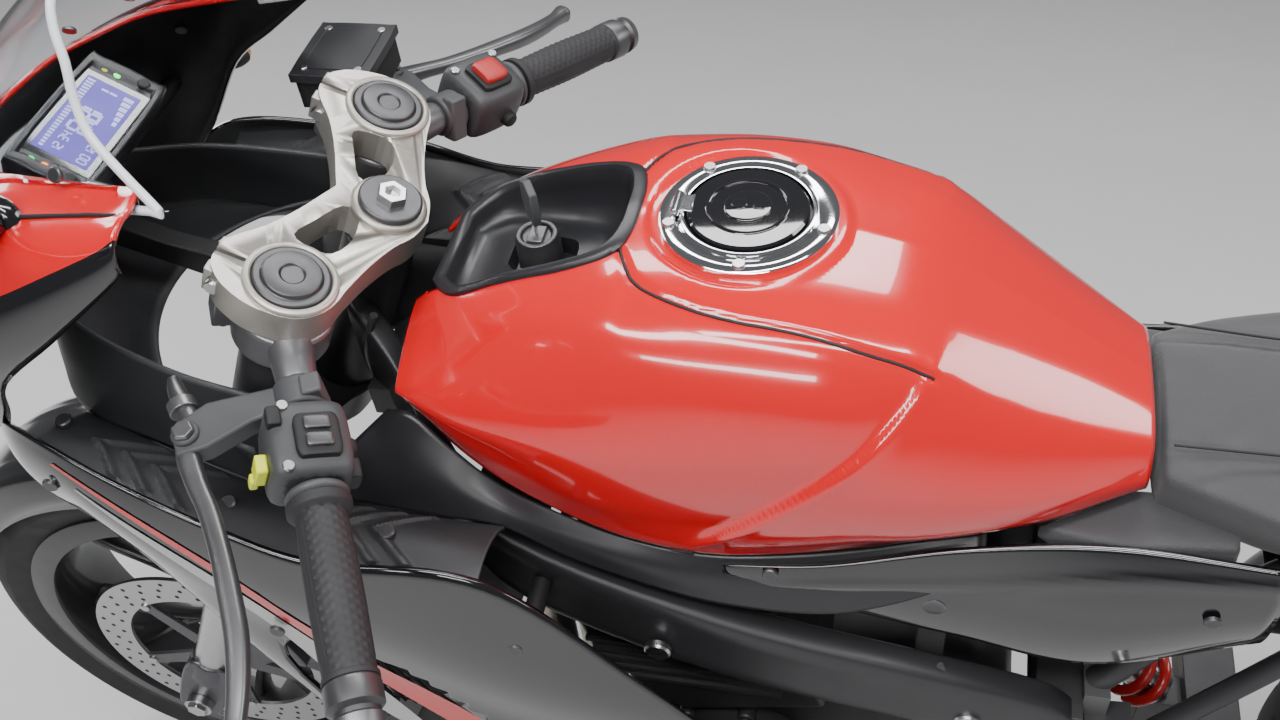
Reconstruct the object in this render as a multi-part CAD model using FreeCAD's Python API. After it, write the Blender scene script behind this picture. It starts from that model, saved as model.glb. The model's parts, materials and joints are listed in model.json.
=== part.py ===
# Faired sport motorcycle, parked on its side stand.
# Every piece is modelled with the machine upright: +X forward, +Y to its left, +Z up,
# the origin on the ground midway between the axles, in millimetres.
# At the end the whole machine is leaned over to the left and set on the floor.
import FreeCAD
import Part
import math
import os
from FreeCAD import Vector, Placement, Rotation

# Driving dimensions
WHEELBASE = 1375.0
RAKE_DEG = 25.0
FORK_OFFSET = 36.0
FORK_HALF_SPACING = 100.0
FORK_LENGTH = 697.0
LEAN_DEG = 11.0

# Tyres and rims
RIM_RADIUS = 216.0
FRONT_TYRE_HEIGHT = 77.0
FRONT_RADIUS = RIM_RADIUS + FRONT_TYRE_HEIGHT
FRONT_HALF_WIDTH = 55.0
FRONT_CROWN_RADIUS = 56.0
REAR_TYRE_HEIGHT = 90.0
REAR_RADIUS = RIM_RADIUS + REAR_TYRE_HEIGHT
REAR_HALF_WIDTH = 74.0
REAR_CROWN_RADIUS = 76.0
RIM_FLANGE = 10.0
RIM_LIP_WIDTH = 6.0
RIM_DEPTH = 22.0
FRONT_BEAD_HALF = 43.0
REAR_BEAD_HALF = 56.0
WHEEL_SIDES = 32
DISC_SIDES = 24
CROWN_STEPS_DEG = (-76, -55, -33, -LEAN_DEG, LEAN_DEG, 33, 55, 76)
SPOKES = 5
SPOKE_THICKNESS = 24.0
FRONT_HUB_RADIUS = 30.0
FRONT_HUB_HALF = 50.0
REAR_HUB_RADIUS = 38.0
REAR_HUB_HALF = 62.0

# Axles and running clearances
AXLE_RADIUS = 10.0
RUNNING_GAP = 0.08
SEAT_GAP = 0.3

# Fork, clamps and bars, in the clamp's own frame
FORK_TUBE_RADIUS = 27.0
FORK_SIDES = 10
STANCHION_RADIUS = 20.5
FORK_TUBE_BOTTOM = -380.0
STEM_RADIUS = 15.0
CLAMP_THICKNESS = 27.0
CLAMP_BOSS_RADIUS = 34.0
LOWER_CLAMP_TOP = -195.0
LOWER_CLAMP_THICKNESS = 40.0
HEAD_TUBE_RADIUS = 28.0
HEAD_GAP = 1.5
STAND_BORE_RADIUS = 8.5
STAND_BORE_DEPTH = 38.0
BAR_RADIUS = 11.0
BAR_SWEEP_DEG = 30.0
BAR_HEIGHT = -38.5
GRIP_RADIUS = 17.0
GRIP_START = 156.0
GRIP_LENGTH = 123.0
BAR_END_LENGTH = 32.0
BAR_END_RADIUS = 16.0
POD_START = 86.0
POD_LENGTH = 60.0
LEVER_AHEAD = 76.0
LEVER_DROP_DEG = 22.0

# Brakes
DISC_TO_RIM = 71.0
FRONT_DISC_RADIUS = RIM_RADIUS - DISC_TO_RIM
FRONT_DISC_Y = 62.0
REAR_DISC_RADIUS = 110.0
REAR_DISC_Y = -72.0
DISC_THICKNESS = 4.5
CALIPER_HALF = 16.0

# Drive chain
CHAIN_PITCH = 15.875
REAR_TEETH = 42
FRONT_TEETH = 14
CHAIN_Y = 92.0
CHAIN_WIDTH = 12.0
LINK_HALF_HEIGHT = 7.2
LINK_WAIST = 5.2
FRONT_SPROCKET_X = -105.0
FRONT_SPROCKET_Z = 372.0

# Swingarm
PIVOT_X = -185.0
PIVOT_Z = 374.0
PIVOT_HALF = 104.0
SPOOL_BORE_RADIUS = 4.0

# Bodywork
PANEL = 4.0
TANK_X_FILLER = 90.0
TANK_Z_FILLER = 926.0
FILLER_RING_RADIUS = 62.5
FILLER_NECK_RADIUS = 22.0
FILLER_NECK_DEPTH = 60.0
LID_RADIUS = 42.0
RING_SIDES = 24
SCREEN_THICKNESS = 3.0
DISPLAY_TILT_DEG = 31.3

# Side stand, down
STAND_PIVOT_HOME = Vector(-40.0, 118.0, 262.0)
STAND_FOOT_X = 5.0
STAND_FOOT_Y = 252.0
STAND_RADIUS = 12.0
STAND_SWING_DEG = 92.0

# Steering and filler lid travel
STEER_LIMIT_DEG = 26.0
LID_SWING_DEG = 100.0

RAKE = math.radians(RAKE_DEG)
LEAN = math.radians(LEAN_DEG)
FRONT_AXLE = Vector(WHEELBASE / 2, 0, FRONT_RADIUS)
REAR_AXLE = Vector(-WHEELBASE / 2, 0,
                   REAR_RADIUS + (REAR_CROWN_RADIUS - FRONT_CROWN_RADIUS) * (1 - math.cos(LEAN)))
CLAMP_UP = Vector(-math.sin(RAKE), 0, math.cos(RAKE))
CLAMP_FORWARD = Vector(math.cos(RAKE), 0, math.sin(RAKE))
STEM = FRONT_AXLE + CLAMP_UP * FORK_LENGTH - CLAMP_FORWARD * FORK_OFFSET
CLAMP_PLACE = Placement(STEM, Rotation(Vector(0, 1, 0), -RAKE_DEG))
# The chassis tables are written for these places of the steering head and the rear axle, and move with them
HEAD_HOME = Vector(360.308, 0, 909.482)
REAR_HOME = Vector(-687.5, 0, 306.367)
BODY_SHIFT = STEM - HEAD_HOME
STAND_PIVOT = STAND_PIVOT_HOME + BODY_SHIFT
BAR_DIRECTION = Vector(-math.sin(math.radians(BAR_SWEEP_DEG)), math.cos(math.radians(BAR_SWEEP_DEG)), 0)
LID_HINGE = Vector(TANK_X_FILLER + 50, 0, TANK_Z_FILLER + 4)
BAR_ROOT = Vector(FORK_OFFSET, FORK_HALF_SPACING, BAR_HEIGHT)
X, Y, Z = Vector(1, 0, 0), Vector(0, 1, 0), Vector(0, 0, 1)


# Shape helpers
def on_chassis(make):
    # Wraps a piece that is written in the chassis tables, so that it moves with the steering head
    def moved():
        shape = make()
        shape.translate(BODY_SHIFT)
        return shape
    moved.home = make
    return moved


def stretched(x, z):
    # A place on the swingarm, which spans from its pivot to the rear axle wherever they are
    share = min(max((PIVOT_X - x) / (PIVOT_X - REAR_HOME.x), 0), 1)
    moved = BODY_SHIFT * (1 - share) + (REAR_AXLE - REAR_HOME) * share
    return x + moved.x, z + moved.z


def carried(shape, x):
    # Moves a shape that is drawn at x on the swingarm with that place
    moved = stretched(x, 0)
    shape.translate(Vector(moved[0] - x, 0, moved[1]))
    return shape


def box(x0, x1, y0, y1, z0, z1):
    return Part.makeBox(x1 - x0, y1 - y0, z1 - z0, Vector(x0, y0, z0))


def bar_sides(radius):
    return 6 if radius < 9 else 8 if radius < 15 else 10


def rod(start, end, radius, sides=None):
    # A many-sided bar; its corners lie on the radius
    sides = sides or bar_sides(radius)
    along = (end - start).normalize()
    aside = along.cross(X if abs(along.x) < 0.9 else Z).normalize()
    other = along.cross(aside).normalize()
    corners = [start + (aside * math.cos(2 * math.pi * k / sides)
                        + other * math.sin(2 * math.pi * k / sides)) * radius for k in range(sides)]
    return facet(corners).extrude(end - start)


def clear_rod(start, end, radius, sides=None):
    # The space that a bar needs: its flats lie on the radius
    sides = sides or bar_sides(radius)
    return rod(start, end, radius / math.cos(math.pi / sides), sides)


def drilled(start, end, radius):
    # A truly round hole, for what a stranger's pin or bolt goes into
    return Part.makeCylinder(radius, (end - start).Length, start, end - start)


def cross_rod(x, z, y0, y1, radius, sides=None):
    return rod(Vector(x, y0, z), Vector(x, y1, z), radius, sides)


def fused(shapes):
    whole = shapes[0].multiFuse(list(shapes[1:])) if len(shapes) > 1 else shapes[0]
    return whole.removeSplitter()


def mirrored(shape):
    return shape.mirror(Vector(0, 0, 0), Y)


def pair(shape):
    return Part.makeCompound([shape, mirrored(shape)])


def outline(points):
    return Part.makePolygon([Vector(*p) for p in points] + [Vector(*points[0])])


def side_plate(points, y0, y1):
    # A flat plate whose outline is given in side view, as x and z
    face = Part.Face(outline([(x, y0, z) for x, z in points]))
    return face.extrude(Vector(0, y1 - y0, 0))


def top_plate(points, z0, z1):
    # A flat plate whose outline is given in plan, as x and y
    face = Part.Face(outline([(x, y, z0) for x, y in points]))
    return face.extrude(Vector(0, 0, z1 - z0))


def turned(profile, x, z, sides=20):
    # A ring about the line along Y through x, z; the profile is (y, radius)
    return faceted_ring(profile, x, z, sides)


def tube(points, radius, bend, sides=8):
    # A many-sided tube along straight runs and short bends, mitred where the runs meet
    points = [Vector(*p) for p in points]
    stations = [points[0]]
    for before, corner, after in zip(points, points[1:], points[2:]):
        back = (before - corner).normalize()
        ahead = (after - corner).normalize()
        half = back.getAngle(ahead) / 2
        cut = bend / math.tan(half)
        middle = corner + (back + ahead).normalize() * (bend / math.sin(half) - bend)
        stations += chords(corner + back * cut, middle, corner + ahead * cut, 2)
    stations.append(points[-1])
    runs = [(b - a).normalize() for a, b in zip(stations, stations[1:])]
    aside = runs[0].cross(Z).normalize()
    other = runs[0].cross(aside).normalize()
    row = [stations[0] + (aside * math.cos(2 * math.pi * k / sides)
                          + other * math.sin(2 * math.pi * k / sides)) * radius for k in range(sides)]
    rows = [row]
    for i, run in enumerate(runs):
        place = stations[i + 1]
        mitre = (run + runs[min(i + 1, len(runs) - 1)]).normalize()
        row = [p + run * ((place - p).dot(mitre) / run.dot(mitre)) for p in row]
        rows.append(row)
    return skin(rows)


def chords(start, middle, end, count):
    # Points on the arc through three places, split into equal chords
    arc = Part.Arc(Vector(*start), Vector(*middle), Vector(*end))
    first, last = arc.FirstParameter, arc.LastParameter
    return [arc.value(first + (last - first) * i / count) for i in range(count + 1)]


def facet(corners):
    return Part.Face(Part.makePolygon(list(corners) + [corners[0]]))


def skin(rows, ring=False):
    # A closed solid over a table of outlines, each joined to the next by flat facets;
    # a ring of outlines closes on itself and needs no ends
    faces = [] if ring else [facet(rows[0]), facet(rows[-1])]
    following = rows[1:] + (rows[:1] if ring else [])
    for low, high in zip(rows, following):
        for i in range(len(low)):
            j = (i + 1) % len(low)
            a, b, c, d = low[i], low[j], high[j], high[i]
            normal = (b - a).cross(c - a)
            if normal.Length > 1e-6 and abs(normal.normalize().dot(d - a)) < 1e-6:
                faces.append(facet((a, b, c, d)))
                continue
            for corners in ((a, b, c), (a, c, d)):
                if (corners[1] - corners[0]).cross(corners[2] - corners[0]).Length > 1e-6:
                    faces.append(facet(corners))
    shell = Part.makeShell(faces)
    shell.sewShape()
    solid = Part.makeSolid(shell)
    if solid.Volume < 0:
        solid.reverse()
    return solid


def faceted_ring(profile, x, z, sides, start_deg=0.0, sweep_deg=360.0):
    # The profile, as (y, radius), swept about the line along Y through x, z in flat facets
    whole = sweep_deg == 360.0
    rows = []
    for i in range(sides if whole else sides + 1):
        a = math.radians(start_deg + sweep_deg * i / sides)
        rows.append([Vector(x + r * math.cos(a), y, z + r * math.sin(a)) for y, r in profile])
    return skin(rows, ring=whole)


def beam(sections):
    # A beam through upright oblong sections; each row is x, y, z, half width, half height
    rows = []
    for x, y, z, w, h in sections:
        c = min(w, h) * 0.5
        rows.append([Vector(x, y + dy, z + dz) for dy, dz in (
            (-w + c, -h), (w - c, -h), (w, -h + c), (w, h - c), (w - c, h), (-w + c, h), (-w, h - c),
            (-w, -h + c))])
    return skin(rows)


def arc_strip(start, middle, end, inward, count=5):
    # The outline of a curved sheet: an arc through three points and the same arc moved inward
    outer = chords(start, middle, end, count)
    return outer + [p + inward for p in reversed(outer)]


# Wheels
def tyre(axle, radius, half_width, crown_radius, bead_half):
    crown_centre = radius - crown_radius
    crown = [(crown_radius * math.sin(math.radians(a)) * min(1, half_width / crown_radius),
              crown_centre + crown_radius * math.cos(math.radians(a))) for a in CROWN_STEPS_DEG]
    flange_top = RIM_RADIUS + RIM_FLANGE + 2
    profile = [(-bead_half, RIM_RADIUS), (-bead_half, flange_top)] + crown
    profile += [(bead_half, flange_top), (bead_half, RIM_RADIUS)]
    return faceted_ring(profile, axle.x, axle.z, WHEEL_SIDES, -90.0)


def rim(axle, bead_half, hub_radius, hub_half):
    lip = RIM_LIP_WIDTH
    well = RIM_RADIUS - RIM_DEPTH
    edge = bead_half + lip
    barrel = faceted_ring([(-edge, RIM_RADIUS + RIM_FLANGE), (-bead_half, RIM_RADIUS + RIM_FLANGE),
                           (-bead_half, RIM_RADIUS), (bead_half, RIM_RADIUS),
                           (bead_half, RIM_RADIUS + RIM_FLANGE), (edge, RIM_RADIUS + RIM_FLANGE),
                           (edge, well + 4), (-edge, well + 4)], 0, 0, WHEEL_SIDES, -90.0)
    # One spoke forks into two legs before it meets the barrel
    foot = hub_radius * 0.7
    reach = well + 6
    fork_at = hub_radius + 55
    spread = math.radians(13)
    leg = 8.0
    tip_x, tip_z = reach * math.cos(spread), reach * math.sin(spread)
    spoke = side_plate([(foot, -14), (fork_at - 12, -11), (tip_x + leg * 0.3, -tip_z - leg),
                        (tip_x, -tip_z + leg), (fork_at + 14, 0), (tip_x, tip_z - leg),
                        (tip_x + leg * 0.3, tip_z + leg), (fork_at - 12, 11), (foot, 14)],
                       -SPOKE_THICKNESS / 2, SPOKE_THICKNESS / 2)
    pieces = [barrel, cross_rod(0, 0, -hub_half, hub_half, hub_radius)]
    for i in range(SPOKES):
        arm = spoke.copy()
        arm.rotate(Vector(0, 0, 0), Y, 90 + 360 / SPOKES * i)
        pieces.append(arm)
    bore = clear_rod(Vector(0, -hub_half - 1, 0), Vector(0, hub_half + 1, 0), AXLE_RADIUS + RUNNING_GAP)
    wheel = fused(pieces).cut(bore)
    wheel.translate(axle)
    return wheel


def brake_disc(axle, radius, inner, y, hub_face, hub_radius):
    # A flat ring on a five-armed carrier that sits against the hub's end
    half = DISC_THICKNESS / 2
    ring = faceted_ring([(y - half, inner), (y + half, inner), (y + half, radius), (y - half, radius)],
                        0, 0, DISC_SIDES)
    carrier_in, carrier_out = sorted((hub_face, y + half * (1 if y > 0 else -1)))
    collar = turned([(carrier_in, AXLE_RADIUS + 4), (carrier_out, AXLE_RADIUS + 4),
                     (carrier_out, hub_radius), (carrier_in, hub_radius)], 0, 0)
    pieces = [ring, collar]
    for i in range(SPOKES):
        arm = box(hub_radius - 6, inner + 5, y - half, y + half, -9, 9)
        arm.rotate(Vector(0, 0, 0), Y, 360 / SPOKES * i + 18)
        pieces.append(arm)
    disc = fused(pieces)
    disc.translate(axle)
    return disc


def front_tyre():
    return tyre(FRONT_AXLE, FRONT_RADIUS, FRONT_HALF_WIDTH, FRONT_CROWN_RADIUS, FRONT_BEAD_HALF)


def rear_tyre():
    return tyre(REAR_AXLE, REAR_RADIUS, REAR_HALF_WIDTH, REAR_CROWN_RADIUS, REAR_BEAD_HALF)


def front_rim():
    return rim(FRONT_AXLE, FRONT_BEAD_HALF, FRONT_HUB_RADIUS, FRONT_HUB_HALF)


def rear_rim():
    return rim(REAR_AXLE, REAR_BEAD_HALF, REAR_HUB_RADIUS, REAR_HUB_HALF)


def front_disc():
    return brake_disc(FRONT_AXLE, FRONT_DISC_RADIUS, FRONT_DISC_RADIUS - 40, FRONT_DISC_Y,
                      FRONT_HUB_HALF, FRONT_HUB_RADIUS)


def rear_disc():
    return brake_disc(REAR_AXLE, REAR_DISC_RADIUS, REAR_DISC_RADIUS - 34, REAR_DISC_Y,
                      -REAR_HUB_HALF, REAR_HUB_RADIUS)


def sprocket_radius(teeth):
    return CHAIN_PITCH / (2 * math.sin(math.pi / teeth))


def rear_sprocket():
    tip = sprocket_radius(REAR_TEETH) - LINK_HALF_HEIGHT - 1.2
    root = tip - 5
    points = []
    for i in range(REAR_TEETH):
        for share, r in ((0.0, root), (0.5, tip)):
            a = 2 * math.pi * (i + share) / REAR_TEETH
            points.append((r * math.cos(a), r * math.sin(a)))
    toothed = side_plate(points, CHAIN_Y - 3, CHAIN_Y + 3)
    carrier = cross_rod(0, 0, REAR_HUB_HALF, CHAIN_Y + 1, 48)
    core = cross_rod(0, 0, REAR_HUB_HALF - 1, CHAIN_Y + 4, AXLE_RADIUS + 4)
    sprocket = fused([toothed, carrier]).cut(core)
    sprocket.translate(REAR_AXLE)
    return sprocket


def axle_pin(axle, half, head_radius, head):
    pin = cross_rod(axle.x, axle.z, -half, half, AXLE_RADIUS)
    ends = [cross_rod(axle.x, axle.z, half, half + head, head_radius),
            cross_rod(axle.x, axle.z, -half - head, -half, head_radius)]
    return fused([pin] + ends)


def front_axle():
    return axle_pin(FRONT_AXLE, FORK_HALF_SPACING + 20, 15, 9)


def rear_axle():
    return axle_pin(REAR_AXLE, 138, 16, 10)


# Steering assembly, drawn in the clamp's own frame: x forward, y left, z up the forks
def in_clamp(shape):
    placed = shape.copy()
    placed.Placement = CLAMP_PLACE.multiply(placed.Placement)
    return placed


def in_home_clamp(shape):
    # The same for what the chassis tables hold
    placed = in_clamp(shape)
    placed.translate(-BODY_SHIFT)
    return placed


def fork_line(z):
    return Vector(FORK_OFFSET, FORK_HALF_SPACING, z)


def fork_rod(z0, z1, radius):
    return rod(fork_line(z0), fork_line(z1), radius, FORK_SIDES)


def forks():
    upper = fork_rod(FORK_TUBE_BOTTOM, 2, FORK_TUBE_RADIUS)
    lower = fork_rod(-FORK_LENGTH + 60, FORK_TUBE_BOTTOM, STANCHION_RADIUS)
    cap = fork_rod(2, 6, 19)
    y0, y1 = FORK_HALF_SPACING - 17, FORK_HALF_SPACING + 20
    x, z = FORK_OFFSET, -FORK_LENGTH
    lug = side_plate([(x - 24, z - 14), (x - 14, z - 24), (x + 14, z - 24), (x + 24, z - 14), (x + 24, z + 65),
                      (x + 12, z + 75), (x - 12, z + 75), (x - 24, z + 65)], y0, y1)
    grow = FRONT_DISC_RADIUS / 145
    bracket = side_plate([(x + dx * grow, z + dz * grow) for dx, dz in ((-10, 20), (-10, 60), (-23, 126), (-65, 145),
                                                                        (-94, 110), (-61, 97))],
                         FRONT_DISC_Y + CALIPER_HALF + 3, y0 + 12)
    bore = clear_rod(Vector(x, y0 - 1, z), Vector(x, y1 + 1, z), AXLE_RADIUS + RUNNING_GAP)
    right = mirrored(fused([upper, lower, cap, lug]).cut(bore))
    left = fused([upper, lower, cap, lug, bracket]).cut(bore)
    return in_clamp(Part.makeCompound([left, right]))


def clamp_half_outline(scale):
    # Plan of one arm, from the centre out to the pinch lug and back along the rear
    front = [(42, 0), (50, 22), (78, 72), (84, 84), (84, 116), (58, 130)]
    rear = [(4, 112), (-2, 78), (-20, 26), (-26, 0)]
    return [(x * scale, y) for x, y in front + rear]


def clamp_plate(z0, z1, boss_radius, with_holes):
    half = clamp_half_outline(1.0)
    arm = top_plate(half, z0, z1)
    boss = fork_rod(z0, z1, boss_radius)
    hub = rod(Vector(0, 0, z0), Vector(0, 0, z1), 30, FORK_SIDES)
    plate = fused([arm, boss, mirrored(arm), mirrored(boss), hub])
    cutters = [fork_rod(z0 - 1, z1 + 1, FORK_TUBE_RADIUS)]
    if with_holes:
        cutters.append(top_plate([(18, 17), (34, 14), (44, 62), (22, 66)], z0 - 1, z1 + 1))
    slot = box(FORK_OFFSET + FORK_TUBE_RADIUS - 3, 90, FORK_HALF_SPACING - 2, FORK_HALF_SPACING + 2,
               z0 - 1, z1 + 1)
    cutters.append(slot)
    for cutter in cutters:
        plate = plate.cut(cutter).cut(mirrored(cutter))
    return plate


def top_clamp():
    plate = clamp_plate(-CLAMP_THICKNESS, 0, CLAMP_BOSS_RADIUS, True)
    plate = plate.cut(rod(Vector(0, 0, -CLAMP_THICKNESS - 1), Vector(0, 0, 1), STEM_RADIUS - 2))
    return in_clamp(plate)


def lower_clamp():
    bottom = LOWER_CLAMP_TOP - LOWER_CLAMP_THICKNESS
    plate = clamp_plate(bottom, LOWER_CLAMP_TOP, CLAMP_BOSS_RADIUS, False)
    stem = rod(Vector(0, 0, bottom), Vector(0, 0, -CLAMP_THICKNESS), STEM_RADIUS, FORK_SIDES)
    neck = rod(Vector(0, 0, -CLAMP_THICKNESS - 1), Vector(0, 0, 0), STEM_RADIUS - 2)
    nut = rod(Vector(0, 0, 0), Vector(0, 0, 8), STEM_RADIUS + 2)
    stand_bore = drilled(Vector(0, 0, bottom - 1), Vector(0, 0, bottom + STAND_BORE_DEPTH), STAND_BORE_RADIUS)
    return in_clamp(fused([plate, stem, neck, nut]).cut(stand_bore))


def bar_point(distance):
    return BAR_ROOT + BAR_DIRECTION * distance


def bar_end():
    return GRIP_START + GRIP_LENGTH


def clip_ons():
    ring = fork_rod(-58, -CLAMP_THICKNESS, FORK_TUBE_RADIUS + 8)
    socket = rod(bar_point(46), bar_point(62), 14)
    bar = rod(bar_point(34), bar_point(bar_end()), BAR_RADIUS)
    weight = rod(bar_point(bar_end()), bar_point(bar_end() + BAR_END_LENGTH), BAR_END_RADIUS)
    tube_space = fork_rod(-80, 10, FORK_TUBE_RADIUS)
    one = fused([ring, socket, bar, weight]).cut(tube_space)
    return in_clamp(pair(one))


def grips():
    grip = rod(bar_point(GRIP_START), bar_point(bar_end()), GRIP_RADIUS)
    flange = rod(bar_point(GRIP_START), bar_point(GRIP_START + 5), GRIP_RADIUS + 4)
    core = rod(bar_point(GRIP_START - 1), bar_point(bar_end() + 1), BAR_RADIUS)
    return in_clamp(pair(fused([grip, flange]).cut(core)))


def on_bar(shape):
    # Turns a shape drawn with the bar along +Y and its centre line at the origin onto the left bar
    placed = shape.copy()
    placed.Placement = Placement(BAR_ROOT, Rotation(Z, BAR_SWEEP_DEG)).multiply(placed.Placement)
    return placed


def switch_pods():
    body = side_plate([(-22, -14), (-12, -24), (18, -24), (30, -12), (30, 12), (18, 24), (-12, 24), (-22, 14)],
                      POD_START, POD_START + POD_LENGTH)
    throttle = rod(Vector(0, POD_START + POD_LENGTH - 1, 0), Vector(0, GRIP_START, 0), 20)
    rocker = box(-12, 14, POD_START + 14, POD_START + 44, 22, 29)
    core = rod(Vector(0, POD_START - 1, 0), Vector(0, GRIP_START + 1, 0), BAR_RADIUS)
    pod = fused([body, throttle, rocker]).cut(core)
    return in_clamp(pair(on_bar(pod)))


def perch():
    # The clamp on the bar inboard of the pod, and the arm out to the lever's pivot
    start = POD_START - 22
    ring = rod(Vector(0, start, 0), Vector(0, start + 20, 0), 17)
    arm = top_plate([(10, start), (10, start + 20), (34, start + 20), (LEVER_AHEAD - 8, POD_START + 8),
                     (LEVER_AHEAD + 8, POD_START + 8), (LEVER_AHEAD + 8, POD_START - 14),
                     (LEVER_AHEAD - 18, start)], -8, 8)
    pivot = rod(Vector(LEVER_AHEAD, POD_START - 3, -12), Vector(LEVER_AHEAD, POD_START - 3, 12), 9)
    core = clear_rod(Vector(0, start - 1, 0), Vector(0, start + 21, 0), BAR_RADIUS + RUNNING_GAP)
    return fused([ring, arm, pivot]).cut(core)


def lever():
    # The blade is cranked in past the pod, then follows the grip at a finger's reach
    start = POD_START - 3
    out = LEVER_AHEAD
    blade = top_plate([(out - 8, start - 4), (out + 8, start - 4), (out + 8, start + 12),
                       (out - 4, start + 50), (out - 6, start + 112), (out - 8, start + 160),
                       (out + 2, start + 214), (out - 6, start + 222), (out - 20, start + 162),
                       (out - 18, start + 112), (out - 14, start + 60), (out - 10, start + 20)], -6, 6)
    tip = rod(Vector(out - 2, start + 218, -7), Vector(out - 2, start + 218, 7), 8)
    return fused([blade, tip])


def dropped(shape):
    # Levers hang a little below the line of the clamp, turned down about the bar
    lowered = shape.copy()
    lowered.rotate(Vector(0, 0, 0), Y, LEVER_DROP_DEG)
    return on_bar(lowered)


def clutch_lever():
    adjuster = rod(Vector(LEVER_AHEAD - 4, POD_START - 14, 0), Vector(LEVER_AHEAD + 4, POD_START - 46, 0), 6)
    return in_clamp(dropped(fused([perch(), lever(), adjuster])))


def brake_lever():
    # The master cylinder lies along the front of the perch
    cylinder = rod(Vector(LEVER_AHEAD - 16, POD_START - 52, 1), Vector(LEVER_AHEAD - 1, POD_START - 5, 1), 13)
    return in_clamp(mirrored(dropped(fused([perch(), lever(), cylinder]))))


def brake_reservoir():
    # The square pot stands level on the master cylinder
    corners = [(430, 132), (480, 132), (486, 138), (486, 198), (480, 204), (430, 204), (424, 198), (424, 138)]
    pot = top_plate(corners, 896, 924)
    lid = top_plate([(421, 129), (489, 129), (489, 207), (421, 207)], 924, 931)
    post = box(428, 452, 150, 178, 884, 896)
    pot = mirrored(fused([pot, lid, post]))
    pot.translate(BODY_SHIFT)
    return pot.cut(brake_lever())


def front_mudguard():
    # A curved band over the tyre, held by a pad on each fork leg
    clear = FRONT_RADIUS + 13
    half = FRONT_HALF_WIDTH + 12
    outer = [(-half, clear - 40), (-half, clear - 4), (-half + 26, clear + 8), (half - 26, clear + 8),
             (half, clear - 4), (half, clear - 40)]
    inner = [(y * (half - PANEL) / half, max(r - PANEL, clear - 40)) for y, r in reversed(outer)]
    band = faceted_ring(outer + inner, 0, 0, 10, 28, 122)
    # The stay is drawn for a band of 306
    grow = clear / 306
    stay = side_plate([(x * grow, z * grow) for x, z in ((-125, 205), (-95, 196), (-30, 262), (-40, 290),
                                                         (-118, 262))],
                      half - PANEL, FORK_HALF_SPACING - STANCHION_RADIUS + 3)
    band.translate(FRONT_AXLE)
    stay.translate(FRONT_AXLE)
    axle = -FORK_LENGTH
    pad = in_clamp(fork_rod(axle + clear - 81, axle + clear - 31, STANCHION_RADIUS + 5))
    core = in_clamp(fork_rod(axle + clear - 146, axle + clear + 10, STANCHION_RADIUS))
    body = fused([band, stay, mirrored(stay), pad, mirrored(pad)])
    return body.cut(core).cut(mirrored(core))


def front_caliper():
    # It straddles the disc behind the left fork leg, on the leg's bracket
    half = CALIPER_HALF
    y = FRONT_DISC_Y
    # Drawn for a disc of 145
    grow = FRONT_DISC_RADIUS / 145
    block = side_plate([(x * grow, z * grow) for x, z in ((-152, 20), (-88, 60), (-70, 112), (-120, 128),
                                                          (-168, 86))], y - half, y + half + 3)
    gap = turned([(y - 4, 20), (y + 4, 20), (y + 4, FRONT_DISC_RADIUS + 5), (y - 4, FRONT_DISC_RADIUS + 5)],
                 0, 0)
    caliper = block.cut(gap)
    caliper.translate(FRONT_AXLE)
    return caliper


# Frame and running gear
@on_chassis
def frame():
    # Each spar row is x, y, z, half width, half height
    spar = beam([(398, 26, 802, 16, 44), (352, 62, 762, 16, 44), (318, 104, 724, 16, 42),
                 (262, 132, 664, 15, 40), (100, 143, 602, 15, 40), (-60, 140, 562, 15, 38),
                 (-150, 131, 528, 15, 36), (-190, 122, 480, 15, 36)])
    plate = side_plate([(-84, 500), (-226, 520), (-238, 430), (-222, 266), (-176, 262), (-150, 350),
                        (-140, 408), (-84, 415)], PIVOT_HALF, PIVOT_HALF + 26)
    head = in_home_clamp(rod(Vector(0, 0, LOWER_CLAMP_TOP + HEAD_GAP), Vector(0, 0, -CLAMP_THICKNESS - HEAD_GAP),
                             HEAD_TUBE_RADIUS, FORK_SIDES))
    stem_space = in_home_clamp(clear_rod(Vector(0, 0, LOWER_CLAMP_TOP - 30), Vector(0, 0, 30),
                                         STEM_RADIUS + RUNNING_GAP, FORK_SIDES))
    gusset = box(304, 392, -60, 60, 740, 770)
    rear_tie = box(-186, -150, -134, 134, 498, 534)
    low_tie = cross_rod(-200, 282, -PIVOT_HALF - 4, PIVOT_HALF + 4, 12)
    body = fused([spar, mirrored(spar), plate, mirrored(plate), head, gusset, rear_tie, low_tie])
    pivot_bore = cross_rod(PIVOT_X, PIVOT_Z, -200, 200, AXLE_RADIUS)
    return body.cut(stem_space).cut(pivot_bore)


@on_chassis
def subframe():
    # Two rails from the pivot plates' tops to the tail, each with a strut
    rail = tube([(-196, 100, 540), (-300, 84, 705), (-470, 74, 744), (-745, 50, 806)], 11, 60, 6)
    strut = tube([(-226, 117, 470), (-330, 92, 600), (-470, 74, 742)], 9, 60, 6)
    joint = box(-206, -186, 88, 118, 514, 545)
    tie = rod(Vector(-470, -74, 740), Vector(-470, 74, 740), 9, 6)
    end_tie = rod(Vector(-735, -51, 803), Vector(-735, 51, 803), 9, 6)
    half = fused([rail, strut])
    rails = fused([half, mirrored(half), tie, end_tie])
    return rails.cut(frame_home()).cut(rider_seat.home()).cut(pillion_seat.home())


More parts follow.
